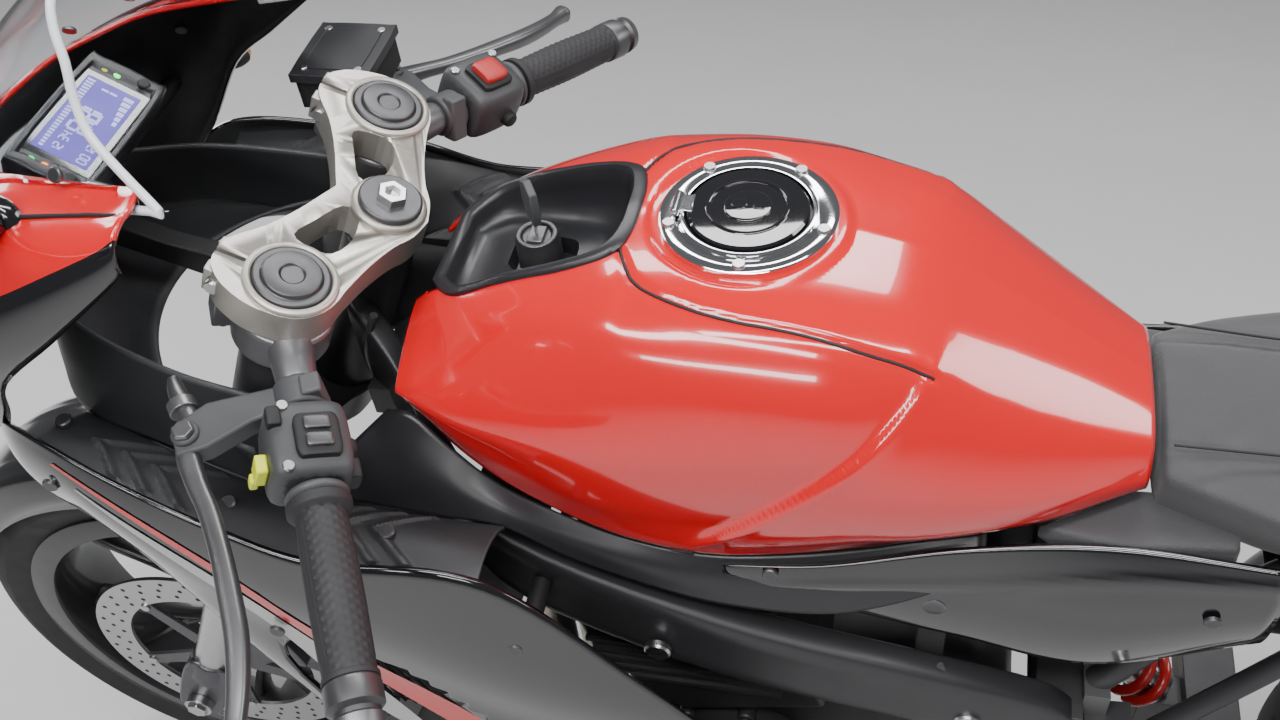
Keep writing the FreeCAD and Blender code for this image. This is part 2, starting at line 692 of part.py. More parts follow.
def swingarm():
    # Each row is x, y, z, half width, half height
    rows = ((-198, 86, PIVOT_Z, 14, 22), (-250, 88, 372, 14, 24), (-345, 112, 362, 13, 32),
            (-430, 118, 350, 13, 29), (-640, 118, 310, 13, 26), (-722, 118, REAR_HOME.z, 13, 24))
    places = [stretched(x, z) for x, _, z, _, _ in rows]
    arm = beam([(px, y, pz, w, h) for (px, pz), (_, y, _, w, h) in zip(places, rows)])
    pivot = stretched(PIVOT_X, PIVOT_Z)
    barrel = cross_rod(*pivot, -PIVOT_HALF + 0.5, PIVOT_HALF - 0.5, 24)
    bridge = carried(box(-346, -300, -100, 100, 345, 390), -323)
    lug = carried(box(-301, -262, -16, 16, 330, 372), -281)
    axle_bore = cross_rod(REAR_AXLE.x, REAR_AXLE.z, -200, 200, AXLE_RADIUS)
    pivot_bore = cross_rod(*pivot, -200, 200, AXLE_RADIUS)
    x, z = stretched(-640, 310)
    spool = cross_rod(x, z, 131, 150, 11)
    spool_bore = drilled(Vector(x, 120, z), Vector(x, 151, z), SPOOL_BORE_RADIUS)
    body = fused([arm, mirrored(arm), barrel, bridge, lug, spool, mirrored(spool)])
    for cutter in (axle_bore, pivot_bore, spool_bore, mirrored(spool_bore)):
        body = body.cut(cutter)
    return body


@on_chassis
def pivot_bolt():
    half = PIVOT_HALF + 26
    return fused([cross_rod(PIVOT_X, PIVOT_Z, -half, half, AXLE_RADIUS),
                  cross_rod(PIVOT_X, PIVOT_Z, half, half + 8, 15),
                  cross_rod(PIVOT_X, PIVOT_Z, -half - 8, -half, 15)])


def rear_shock():
    # A damper with a ribbed spring, from the frame's rear tie down to the swingarm's lug
    top = Vector(-168, 0, 497.5) + BODY_SHIFT
    low_x, low_z = stretched(-281, 372.5)
    bottom = Vector(low_x, 0, low_z)
    length = (bottom - top).Length
    coils = 5
    step = (length - 44) / coils
    profile = [(0, 10), (12, 18)]
    for i in range(coils):
        y = 18 + step * i
        profile += [(y, 22), (y + step * 0.5, 32)]
    profile += [(length - 26, 22), (length - 20, 14), (length, 10)]
    rows = [[Vector(r * math.cos(math.pi * k / 6), r * math.sin(math.pi * k / 6), y) for k in range(12)]
            for y, r in profile]
    shock = skin(rows)
    shock.Placement = Placement(top, Rotation(Z, bottom - top))
    return shock.cut(frame_solid()).cut(swingarm_solid())


@on_chassis
def engine():
    # The heavy block: crankcase, gearbox and the cylinders leaning forward
    case = side_plate([(-150, 300), (-120, 430), (-20, 452), (150, 420), (178, 330), (150, 220),
                       (40, 190), (-90, 202)], -92, 84)
    cylinders = side_plate([(20, 440), (66, 596), (120, 632), (250, 590), (222, 440), (150, 400)], -105, 105)
    left_cover = cross_rod(110, 318, 84, 150, 76, 20)
    right_cover = cross_rod(50, 322, -158, -92, 88, 20)
    right_small = cross_rod(150, 300, -140, -92, 46, 16)
    shaft = cross_rod(FRONT_SPROCKET_X, FRONT_SPROCKET_Z, 84, CHAIN_Y + CHAIN_WIDTH / 2 + 2,
                      sprocket_radius(FRONT_TEETH) - LINK_HALF_HEIGHT - SEAT_GAP)
    return fused([case, cylinders, left_cover, right_cover, right_small, shaft])


@on_chassis
def radiator():
    core = side_plate([(322, 440), (352, 440), (332, 636), (302, 636)], -150, 150)
    tanks = side_plate([(318, 436), (356, 436), (336, 640), (298, 640)], 150, 166)
    hanger = box(308, 328, 96, 112, 634, 690).cut(frame_home())
    return fused([core, tanks, mirrored(tanks), hanger, mirrored(hanger)])


@on_chassis
def exhaust():
    # Two header pipes join under the engine; the silencer rises on the right
    header = tube([(246, 48, 520), (288, 48, 470), (286, 42, 210), (210, 30, 164), (90, 14, 164)], 17, 38, 6)
    collector = tube([(96, 0, 165), (-140, -8, 165), (-215, -62, 172), (-310, -172, 232),
                      (-400, -196, 270)], 20, 60, 6)
    rows = []
    # Each row is x, y, z, half width, half height
    for x, y, z, w, h in ((-392, -194, 266, 30, 34), (-430, -198, 290, 44, 54), (-640, -206, 378, 44, 56),
                          (-700, -208, 403, 34, 40)):
        rows.append([Vector(x, y + w * math.cos(math.pi * k / 5), z + h * math.sin(math.pi * k / 5))
                     for k in range(10)])
    can = skin(rows)
    return fused([header, mirrored(header), collector, can]).cut(engine.home())


def chain_loop():
    # The two sprockets' pitch circles and their outer tangents, as one closed run of arc length
    big, small = sprocket_radius(REAR_TEETH), sprocket_radius(FRONT_TEETH)
    rear = (REAR_AXLE.x, REAR_AXLE.z)
    front = (FRONT_SPROCKET_X + BODY_SHIFT.x, FRONT_SPROCKET_Z + BODY_SHIFT.z)
    dx, dz = front[0] - rear[0], front[1] - rear[1]
    span = math.hypot(dx, dz)
    base = math.atan2(dz, dx)
    tilt = math.acos((big - small) / span)
    straight = math.sqrt(span ** 2 - (big - small) ** 2)
    parts = [("arc", rear, big, base + tilt, 2 * (math.pi - tilt)),
             ("line", rear, big, base - tilt, straight),
             ("arc", front, small, base - tilt, 2 * tilt),
             ("line", front, small, base + tilt, straight)]
    return parts


def loop_point(distance):
    # The point on the loop at an arc length, with its outward direction
    for kind, centre, radius, angle, size in chain_loop():
        length = size * radius if kind == "arc" else size
        if distance <= length:
            if kind == "arc":
                a = angle + distance / radius
                return (centre[0] + radius * math.cos(a), centre[1] + radius * math.sin(a)), a
            along = (-math.sin(angle), math.cos(angle))
            return (centre[0] + radius * math.cos(angle) + along[0] * distance,
                    centre[1] + radius * math.sin(angle) + along[1] * distance), angle
        distance -= length
    return loop_point(0)


def chain():
    total = sum(size * radius if kind == "arc" else size for kind, _, radius, _, size in chain_loop())
    links = round(total / CHAIN_PITCH)
    sides = {1: [], -1: []}
    for i in range(links):
        (x, z), a = loop_point(total * i / links)
        reach = LINK_HALF_HEIGHT if i % 2 == 0 else LINK_WAIST
        for side in sides:
            sides[side].append((x + side * reach * math.cos(a), z + side * reach * math.sin(a)))
    y0, y1 = CHAIN_Y - CHAIN_WIDTH / 2, CHAIN_Y + CHAIN_WIDTH / 2
    return side_plate(sides[1], y0, y1).cut(side_plate(sides[-1], y0 - 1, y1 + 1))


def rear_caliper():
    y = REAR_DISC_Y
    # Drawn for a disc of 110
    grow = REAR_DISC_RADIUS / 110
    block = side_plate([(x * grow, z * grow) for x, z in ((70, 62), (118, 30), (128, 62), (92, 104), (56, 104))],
                       y - 18, y + 12)
    gap = turned([(y - 4, 20), (y + 4, 20), (y + 4, REAR_DISC_RADIUS + 5), (y - 4, REAR_DISC_RADIUS + 5)],
                 0, 0)
    bracket = box(60, 100, y - 33, y - 18, 26, 80)
    caliper = fused([block.cut(gap), bracket])
    caliper.translate(REAR_AXLE)
    return caliper


@on_chassis
def footrests():
    # Each side has a hanger plate, a heel guard and a ribbed peg
    hanger = side_plate([(-150, 420), (-215, 440), (-330, 380), (-300, 330), (-250, 318), (-180, 330)],
                        PIVOT_HALF + 38, PIVOT_HALF + 46)
    spacers = [cross_rod(x, z, PIVOT_HALF + 26, PIVOT_HALF + 38, 9) for x, z in ((-160, 410), (-200, 345))]
    peg = cross_rod(-272, 345, PIVOT_HALF + 46, PIVOT_HALF + 138, 10)
    heel = side_plate([(-262, 380), (-330, 380), (-352, 450), (-300, 470)], PIVOT_HALF + 38,
                      PIVOT_HALF + 42)
    return pair(fused([hanger, peg, heel] + spacers))


@on_chassis
def pedals():
    # Gear pedal on the left, brake pedal on the right, each pivoted at its footrest
    arm = side_plate([(-258, 336), (-258, 318), (-130, 300), (-118, 312), (-130, 322)],
                     PIVOT_HALF + 46 + SEAT_GAP, PIVOT_HALF + 54)
    toe = cross_rod(-126, 310, PIVOT_HALF + 54, PIVOT_HALF + 88, 7)
    return pair(fused([arm, toe]))


# Bodywork
def tank_section(x, top, shoulder_y, shoulder_z, side_y, side_z, low_y, low_z):
    # Flat bottom, arched sides and an arched top, all in a plane across the machine
    low, shoulder = (x, low_y, low_z), (x, shoulder_y, shoulder_z)
    side = chords(low, (x, side_y, side_z), shoulder, 5)
    crown = chords(shoulder, (x, 0, top), (x, -shoulder_y, shoulder_z), 6)
    return side + crown[1:] + [Vector(p.x, -p.y, p.z) for p in reversed(side[:-1])]


# Columns: x, top z, shoulder y and z, widest y and its z, lower edge y and z
TANK_SECTIONS = (
    (-196, 800, 52, 794, 68, 768, 60, 742),
    (-140, 838, 74, 824, 100, 780, 92, 738),
    (-44, 899, 104, 884, 138, 812, 112, 726),
    (40, 920, 118, 905, 148, 830, 126, 708),
    (130, 926, 118, 909, 150, 832, 136, 704),
    (215, 914, 112, 896, 148, 824, 134, 726),
    (290, 890, 98, 868, 132, 822, 122, 772),
    (336, 852, 86, 842, 106, 826, 98, 808),
)


def tank_body():
    return skin([tank_section(*row) for row in TANK_SECTIONS])


# Plan of the dark recess between the tank's front wings, one side, x and y
TRIM_OUTLINE = ((345, 26), (313, 46), (290, 58), (262, 58), (218, 56), (191, 50), (174, 38), (170, 0))


def trim_prism(inset):
    half = [(x + inset * 0.7, y - inset) if y > 0 else (x + inset, y) for x, y in TRIM_OUTLINE]
    whole = half + [(x, -y) for x, y in reversed(half[:-1])]
    return top_plate(whole, 700, 1000)


@on_chassis
def fuel_tank():
    body = tank_body()
    body = body.cut(trim_prism(0))
    seat = rod(Vector(TANK_X_FILLER, 0, TANK_Z_FILLER - 6), Vector(TANK_X_FILLER, 0, 1000),
               FILLER_RING_RADIUS, RING_SIDES)
    neck = drilled(Vector(TANK_X_FILLER, 0, TANK_Z_FILLER - FILLER_NECK_DEPTH),
                   Vector(TANK_X_FILLER, 0, 1000), FILLER_NECK_RADIUS)
    return body.cut(seat).cut(neck)


@on_chassis
def tank_trim():
    # The satin floor of the recess, sunk below the tank's skin and dished for the lock
    body = tank_body().common(trim_prism(SEAT_GAP))
    body.translate(Vector(0, 0, -5))
    keep = box(150, 322, -80, 80, 800, 960)
    hollow = rod(Vector(248, 0, 868), Vector(248, 0, 960), 26)
    return body.common(keep).cut(hollow)


@on_chassis
def ignition_lock():
    barrel = rod(Vector(248, 0, 868), Vector(248, 0, 900), 18)
    key = box(244, 252, -2, 2, 898, 930)
    bow = rod(Vector(248, -2, 930), Vector(248, 2, 930), 13)
    return fused([barrel, key, bow])


@on_chassis
def filler_ring():
    # A flat flange with a raised collar round the lid, and a sill round the neck's mouth
    base = Vector(TANK_X_FILLER, 0, TANK_Z_FILLER - 6)
    ring = rod(base, base + Z * 10, FILLER_RING_RADIUS, RING_SIDES)
    inside = clear_rod(base + Z * 3, base + Z * 11, LID_RADIUS + 1, RING_SIDES)
    mouth = clear_rod(base - Z, base + Z * 4, FILLER_NECK_RADIUS + 1)
    hinge_space = box(TANK_X_FILLER + 30, TANK_X_FILLER + 56, -13, 13, base.z + 3, base.z + 20)
    return ring.cut(inside).cut(mouth).cut(hinge_space)


@on_chassis
def filler_lid():
    z = TANK_Z_FILLER - 6 + 4
    base = Vector(TANK_X_FILLER, 0, z)
    disc = rod(base, base + Z * 6, LID_RADIUS, RING_SIDES)
    hinge = box(TANK_X_FILLER + 34, TANK_X_FILLER + 50, -11, 11, z + 1, z + 6)
    knuckle = cross_rod(LID_HINGE.x, LID_HINGE.z, -11, 11, 3.5)
    return fused([disc, hinge, knuckle])


def seat_section(x, half, low, edge, top):
    # A flat base, upright edges and an arched top
    arch = chords((x, half, edge), (x, 0, top), (x, -half, edge), 6)
    return [Vector(x, -half, low), Vector(x, half, low)] + arch


# Columns: x, half width, base z, edge z, crown z
RIDER_SEAT = ((-200, 66, 724, 772, 792), (-300, 104, 724, 768, 784), (-410, 132, 748, 772, 786),
              (-480, 124, 752, 796, 812), (-500, 112, 756, 820, 838))
PILLION_SEAT = ((-502, 92, 800, 846, 862), (-600, 108, 816, 862, 876), (-690, 96, 832, 872, 884),
                (-735, 70, 842, 872, 880))


@on_chassis
def rider_seat():
    # The base runs forward in two lobes under the tank's rear corners
    lobe = top_plate([(-262, 60), (-200, 54), (-152, 84), (-130, 96), (-132, 106), (-170, 109), (-262, 104)],
                     716, 736)
    return fused([skin([seat_section(*row) for row in RIDER_SEAT]), lobe, mirrored(lobe)])


@on_chassis
def pillion_seat():
    return skin([seat_section(*row) for row in PILLION_SEAT])


def tail_section(x, half, low, mid_z, top, inset):
    # Level below and above, with bowed flanks
    h = half - inset
    flank = chords((x, h * 0.86, low), (x, h, mid_z), (x, h * 0.82, top - inset), 3)
    return flank + [Vector(p.x, -p.y, p.z) for p in reversed(flank)]


# Columns: x, half width, lower z, widest z, top z
TAIL = ((-296, 122, 668, 712, 752), (-440, 134, 700, 742, 786), (-590, 118, 746, 796, 846),
        (-740, 92, 792, 836, 880), (-822, 60, 838, 862, 890))


@on_chassis
def tail_cowl():
    outer = skin([tail_section(*row, 0) for row in TAIL])
    rows = [[x, half, low - 30, mid, top] for x, half, low, mid, top in TAIL]
    rows[0][0] += 2
    rows[-1][0] += PANEL
    shell = outer.cut(skin([tail_section(*row, PANEL) for row in rows]))
    for seat in (RIDER_SEAT, PILLION_SEAT):
        grown = [seat_section(x, half + SEAT_GAP, low - SEAT_GAP, edge + 60, top + 80)
                 for x, half, low, edge, top in seat]
        shell = shell.cut(skin(grown))
    return shell


@on_chassis
def tail_light():
    return skin([tail_section(-822 - SEAT_GAP, 58, 842, 862, 886, 0),
                 tail_section(-842, 44, 850, 864, 878, 0)])


@on_chassis
def side_covers():
    # Columns: x, top y and z, middle y and z, bottom y and z
    rows = ((96, 140, 700, 142, 694, 140, 688), (20, 134, 706, 139, 684, 137, 660),
            (-80, 124, 732, 134, 688, 134, 634), (-180, 112, 738, 130, 690, 130, 612),
            (-292, 118, 738, 127, 700, 118, 650))
    wires = [arc_strip((x, ty, tz), (x, my, mz), (x, by, bz), Vector(0, -PANEL, 0))
             for x, ty, tz, my, mz, by, bz in rows]
    return pair(skin(wires))


@on_chassis
def rear_mudguard():
    # A hanger under the tail with a flat blank plate at its end
    hanger = side_plate([(-700, 776), (-700, 764), (-800, 690), (-905, 560), (-915, 566), (-812, 705),
                         (-745, 776)], -58, 58)
    lug = box(-743, -727, -30, 30, 770, 803).cut(rod(Vector(-735, -51, 803), Vector(-735, 51, 803), 9, 6))
    plate = side_plate([(-868, 640), (-862, 640), (-940, 520), (-946, 520)], -95, 95)
    plate.translate(Vector(4, 0, 0))
    return fused([hanger, lug, plate])


def indicator(x, y, z, stalk):
    # A small tapered lamp on a short stalk that points inward
    rows = [[Vector(x + 16 * s * math.cos(math.pi * k / 3), y + d, z + 11 * s * math.sin(math.pi * k / 3))
             for k in range(6)] for d, s in ((-14, 0.6), (0, 1.0), (16, 0.5))]
    return fused([skin(rows), rod(Vector(x, y - 13, z), Vector(x, y - 13 - stalk, z), 6, 6)])


@on_chassis
def indicators():
    # Front pair on the nose's flanks, rear pair on the plate hanger
    lamps = []
    for x, y, z, stalk in ((600, 226, 880, 30), (-790, 112, 716, 41 - SEAT_GAP)):
        lamp = indicator(x, y, z, stalk)
        lamps += [lamp, mirrored(lamp)]
    return Part.makeCompound(lamps).cut(nose_outer())


def nose_section(x, low_y, low_z, mid_y, mid_z, top_y, top_z, crown, inset, drop):
    flank = chords((x, low_y - inset, low_z - drop), (x, mid_y - inset, mid_z),
                   (x, top_y - inset, top_z - inset), 4)
    arch = chords((x, top_y - inset, top_z - inset), (x, 0, crown - inset),
                  (x, -top_y + inset, top_z - inset), 6)
    return flank + arch[1:] + [Vector(p.x, -p.y, p.z) for p in reversed(flank[:-1])]


# Columns: x, lower y and z, widest y and z, upper y and z, crown z
NOSE = ((752, 48, 846, 60, 868, 40, 892, 902), (716, 98, 812, 120, 858, 86, 926, 944),
        (645, 160, 800, 182, 868, 118, 972, 992), (575, 194, 896, 202, 930, 136, 996, 1016),
        (478, 174, 972, 174, 990, 140, 1010, 1027))
# Plan of the cockpit opening, one side
COCKPIT = ((652, 0), (644, 50), (622, 74), (575, 100), (470, 118), (440, 118))


def nose_outer(grow=0.0):
    rows = [list(row) for row in NOSE]
    rows[0][0] += grow
    rows[-1][0] -= grow
    return skin([nose_section(*row, -grow, 0) for row in rows])


def nose_inner(wall):
    rows = [list(row) for row in NOSE]
    rows[0][0] -= wall
    last = rows[-1]
    ahead = rows[-2]
    extra = [b + (b - a) * 0.2 for a, b in zip(ahead, last)]
    return skin([nose_section(*row, wall, 30) for row in rows + [extra]])


# Lamp outline in front view, one side, y and z
LAMP = ((34, 858), (66, 846), (128, 868), (150, 902), (120, 906), (52, 886))


def lamp_prism(grow):
    centre_y = sum(y for y, _ in LAMP) / len(LAMP)
    centre_z = sum(z for _, z in LAMP) / len(LAMP)
    points = []
    for y, z in LAMP:
        dy, dz = y - centre_y, z - centre_z
        far = math.hypot(dy, dz)
        points.append((660, centre_y + dy * (far + grow) / far, centre_z + dz * (far + grow) / far))
    return Part.Face(outline(points)).extrude(Vector(140, 0, 0))


@on_chassis
def nose_fairing():
    shell = nose_outer().cut(nose_inner(PANEL))
    plan = list(COCKPIT) + [(x, -y) for x, y in reversed(COCKPIT[1:])]
    shell = shell.cut(top_plate(plan, 880, 1100))
    lamp = lamp_prism(SEAT_GAP)
    return shell.cut(lamp).cut(mirrored(lamp))


@on_chassis
def headlights():
    lens = nose_outer().common(lamp_prism(0)).cut(nose_inner(PANEL * 3))
    return pair(lens)


# The screen's bubble, across the machine. Columns: x, half width at the foot, foot z, crown z
SCREEN = ((690, 24, 950, 964), (668, 70, 962, 992), (640, 100, 972, 1034), (604, 114, 985, 1066),
          (560, 120, 992, 1100), (510, 124, 1000, 1136), (440, 131, 1008, 1172))
# Shares of the half width and of the drop from crown to foot
SCREEN_SHAPE = ((1.0, 1.0), (0.82, 0.70), (0.656, 0.40), (0.49, 0.16), (0.25, 0.035), (0.0, 0.0))
# The rear edge in side view, with what lies behind it
SCREEN_BACK = ((519, 1190), (514, 1114), (506, 1084), (495, 1046), (446, 1008), (425, 1008), (425, 1190))


def screen_section(x, half, foot, crown):
    outer = [Vector(x, half * wide, crown - (crown - foot) * deep) for wide, deep in SCREEN_SHAPE]
    outer += [Vector(p.x, -p.y, p.z) for p in reversed(outer[:-1])]
    inner = []
    for i, p in enumerate(outer):
        run = (outer[min(i + 1, len(outer) - 1)] - outer[max(i - 1, 0)]).normalize()
        inner.append(p + Vector(0, run.z, -run.y) * -SCREEN_THICKNESS)
    return outer + list(reversed(inner))


@on_chassis
def windscreen():
    bubble = skin([screen_section(*row) for row in SCREEN])
    return bubble.cut(nose_outer(SEAT_GAP)).cut(side_plate(SCREEN_BACK, -150, 150))


@on_chassis
def instrument_panel():
    # A housing that faces back and up, with the display let into its face, on an arm from the nose
    corners = [(-66, -22), (-56, -32), (56, -32), (66, -22), (66, 22), (56, 30), (-56, 30), (-66, 22)]
    face = Part.Face(outline([(-26, y, z) for y, z in corners]))
    housing = face.extrude(Vector(34, 0, 0))
    recess = box(-27, -23, -48, 48, -26, 26)
    body = housing.cut(recess)
    body.Placement = Placement(Vector(596, 0, 954), Rotation(Y, 90 - DISPLAY_TILT_DEG))
    arm = side_plate([(590, 940), (612, 950), (644, 889), (628, 882)], -10, 10)
    return fused([body, arm])


@on_chassis
def cockpit_panels():
    # Columns: x, inner y and z, middle y and z, outer y and z
    rows = ((596, 128, 790, 160, 812, 187, 824), (520, 142, 770, 178, 798, 212, 812),
            (440, 152, 748, 190, 776, 224, 786), (360, 154, 742, 190, 766, 226, 764),
            (256, 154, 738, 184, 756, 218, 752))
    wires = [arc_strip((x, iy, iz), (x, my, mz), (x, oy, oz), Vector(0, 0, -PANEL))
             for x, iy, iz, my, mz, oy, oz in rows]
    return pair(skin(wires)).cut(side_fairings.home())


# Columns: x, top y and z, middle y and z, bottom y and z
SIDE_FAIRING = (
    (668, 146, 792, 147, 782, 145, 770), (606, 186, 836, 196, 796, 180, 744), (520, 213, 822, 226, 742, 196, 668),
    (440, 226, 796, 238, 670, 204, 520), (370, 228, 772, 240, 600, 196, 330),
    (250, 220, 760, 234, 500, 140, 152), (150, 214, 640, 216, 420, 118, 140),
    (50, 202, 490, 194, 320, 110, 136), (-40, 192, 400, 182, 280, 106, 138),
    (-96, 184, 366, 172, 256, 104, 142),
)


def side_fairing():
    return skin([arc_strip((x, ty, tz), (x, my, mz), (x, by, bz), Vector(0, -PANEL, 0), 6)
                 for x, ty, tz, my, mz, by, bz in SIDE_FAIRING])


@on_chassis
def side_fairings():
    # The left one is arched away over the side stand
    stand_space = box(-200, 30, 130, 260, 100, 310)
    return Part.makeCompound([side_fairing().cut(stand_space), mirrored(side_fairing())])


@on_chassis
def belly_fairing():
    rows = [(x, by - PANEL - SEAT_GAP, bz) for x, _, _, _, _, by, bz in SIDE_FAIRING[5:]]
    return skin([arc_strip((x, y, z), (x, 0, z - 12), (x, -y, z), Vector(0, 0, PANEL), 6)
                 for x, y, z in rows])


@on_chassis
def mirrors():
    # Each head is a tapered shell on a stalk from the nose
    rows = []
    # Each row is y, x, z, half depth, half height
    for y, x, z, d, h in ((262, 528, 1062, 14, 26), (290, 524, 1072, 22, 36), (345, 512, 1078, 22, 36),
                          (385, 500, 1074, 12, 20)):
        rows.append([Vector(x - d * 0.4, y, z - h), Vector(x + d, y, z - h * 0.6),
                     Vector(x + d, y, z + h * 0.6), Vector(x - d * 0.4, y, z + h)])
    head = skin(rows)
    stalk = tube([(560, 146, 1000), (548, 200, 1034), (528, 280, 1066)], 8, 30)
    return pair(fused([head, stalk])).cut(nose_outer())


# What the frame carries the rest on
@on_chassis
def body_mounts():
    # Engine spacers, tank lugs, side cover lugs and fairing spacers, each on both sides
    spacers = [cross_rod(150, 600, 100, 132, 12), cross_rod(-96, 428, 80, 106, 8)]
    tank_lug = box(118, 148, 120, 138, 635, 730)
    cover_lug = box(-72, -50, 118, 133, 590, 650)
    fairing_spacer = cross_rod(240, 660, 140, 232, 8)
    lugs = [pair(shape) for shape in spacers + [tank_lug, cover_lug, fairing_spacer]]
    front_lug = box(304, 328, -20, 20, 768, 812)
    # The nose's stay runs forward from the head tube, between the fork legs
    stay = side_plate([(439, 795), (423, 827), (556, 862), (634, 892), (648, 884), (640, 870), (566, 842),
                       (450, 798)], -9, 9)
    crossbar = rod(Vector(640, -194, 880), Vector(640, 194, 880), 8)
    lugs += [front_lug, fused([stay, crossbar])]
    mounts = Part.makeCompound(lugs)
    nose_wall = nose_outer().cut(nose_inner(PANEL))
    for neighbour in (frame_home(), engine.home(), fuel_tank.home(), tank_trim.home(), side_covers.home(),
                      side_fairings.home(), nose_wall, instrument_panel.home()):
        mounts = mounts.cut(neighbour)
    kept = [solid for solid in mounts.Solids if solid.Volume > 1000]
    return Part.makeCompound(kept)


# Side stand
def stand_floor(y):
    # The height of the floor under the leaned machine, at a place y to its left
    return y * math.tan(LEAN) - FRONT_CROWN_RADIUS * (1 - math.cos(LEAN)) / math.cos(LEAN)


def stand_foot():
    return Vector(STAND_FOOT_X, STAND_FOOT_Y, stand_floor(STAND_FOOT_Y))


def stand_axis():
    # The leg swings from the foot's direction to one that points back beside the swingarm
    down = (stand_foot() - STAND_PIVOT).normalize()
    back = Vector(-1, 0.24, -0.02).normalize()
    return down.cross(back).normalize()


def side_stand():
    foot = stand_foot()
    up = Vector(0, -math.sin(LEAN), math.cos(LEAN))
    ankle = foot + up * 12
    axis = stand_axis()
    leg = rod(STAND_PIVOT, ankle, STAND_RADIUS)
    eye = rod(STAND_PIVOT - axis * 13, STAND_PIVOT + axis * 13, 17)
    pad = top_plate([(-34, -24), (30, -24), (38, -8), (38, 16), (-20, 26), (-36, 12)], 0, 8)
    pad.Placement = Placement(foot, Rotation(X, LEAN_DEG))
    sole = top_plate([(-34, -24), (30, -24), (38, -8), (38, 16), (-20, 26), (-36, 12)], -40, 0)
    sole.Placement = Placement(foot, Rotation(X, LEAN_DEG))
    bore = clear_rod(STAND_PIVOT - axis * 30, STAND_PIVOT + axis * 30, 6 + RUNNING_GAP)
    return fused([leg, eye, pad]).cut(sole).cut(bore)


def stand_bracket():
    # A plate on the frame's lower tie with the pin through the leg's eye
    axis = stand_axis()
    pin = rod(STAND_PIVOT - axis * 26, STAND_PIVOT + axis * 17, 6)
    head = rod(STAND_PIVOT + axis * 14, STAND_PIVOT + axis * 19, 11)
    arm = rod(STAND_PIVOT - axis * 28, STAND_PIVOT - axis * 14, 18)
    link = rod(STAND_PIVOT - axis * 24, Vector(-198, 95, 282) + BODY_SHIFT, 9)
    return fused([pin, head, arm, link]).cut(frame_solid())


CACHE = {}


def frame_home():
    if "frame" not in CACHE:
        CACHE["frame"] = frame.home()
    return CACHE["frame"]


@on_chassis
def frame_solid():
    return frame_home().copy()


def swingarm_solid():
    if "swingarm" not in CACHE:
        CACHE["swingarm"] = swingarm()
    return CACHE["swingarm"]


def together(*makers):
    # Like pieces of one body that don't touch, or are joined by what carries them, in one node
    return lambda: Part.makeCompound([maker() for maker in makers])


PIECES = {
    "frame": frame_solid,
    "subframe": subframe,
    "body_mounts": together(body_mounts, stand_bracket),
    "swingarm": swingarm_solid,
    "rear_pins": together(rear_axle, pivot_bolt),
    "rear_shock": rear_shock,
    "engine": engine,
    "radiator": radiator,
    "exhaust": exhaust,
    "chain": chain,
    "rear_caliper": rear_caliper,
    "foot_controls": together(footrests, pedals),
    "fuel_tank": fuel_tank,
    "tank_trim": tank_trim,
    "ignition_lock": ignition_lock,
    "filler_ring": filler_ring,
    "seats": together(rider_seat, pillion_seat),
    "tail_cowl": tail_cowl,
    "rear_mudguard": rear_mudguard,
    "nose_fairing": nose_fairing,
    "lamps": together(headlights, tail_light, indicators),
    "windscreen": windscreen,
    "instrument_panel": instrument_panel,
    "inner_panels": together(cockpit_panels, side_covers),
    "fairings": together(side_fairings, belly_fairing),
    "mirrors": mirrors,
    "forks": forks,
    "top_clamp": top_clamp,
    "lower_clamp": lower_clamp,
    "clip_ons": clip_ons,
    "grips": grips,
    "switch_pods": switch_pods,
    "levers": together(clutch_lever, brake_lever),
    "brake_reservoir": brake_reservoir,
    "front_mudguard": front_mudguard,
    "front_caliper": front_caliper,
    "front_axle": front_axle,
    "front_rim": front_rim,
    "front_tyre": front_tyre,
    "front_disc": front_disc,
    "rear_rim": rear_rim,
    "rear_tyre": rear_tyre,
    "rear_disc": rear_disc,
    "rear_sprocket": rear_sprocket,
    "side_stand": side_stand,
    "filler_lid": filler_lid,
}


# Final place: leaned onto the stand, with the origin under the middle of the whole machine
LEANED = Rotation(X, -LEAN_DEG)


def build():
    return {name: make() for name, make in PIECES.items()}


def parked_place(shapes):
    bounds = FreeCAD.BoundBox()
    for shape in shapes.values():
        bounds.add(leaned(shape, Vector(0, 0, 0)).BoundBox)
    return Vector(-bounds.Center.x, -bounds.Center.y, -bounds.ZMin)


def leaned(shape, shift):
    placed = shape.copy()
    placed.Placement = Placement(shift, LEANED).multiply(placed.Placement)
    return placed


def main():
    os.makedirs("parts", exist_ok=True)
    shapes = build()
    shift = parked_place(shapes)
    for name, shape in shapes.items():
        leaned(shape, shift).exportStep(f"parts/{name}.step")
    print("shift", [round(v, 3) for v in shift])


if __name__ == "__main__":
    main()
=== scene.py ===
import bpy
import bmesh
import json
import math
from mathutils import Matrix, Vector, noise
from mathutils.bvhtree import BVHTree


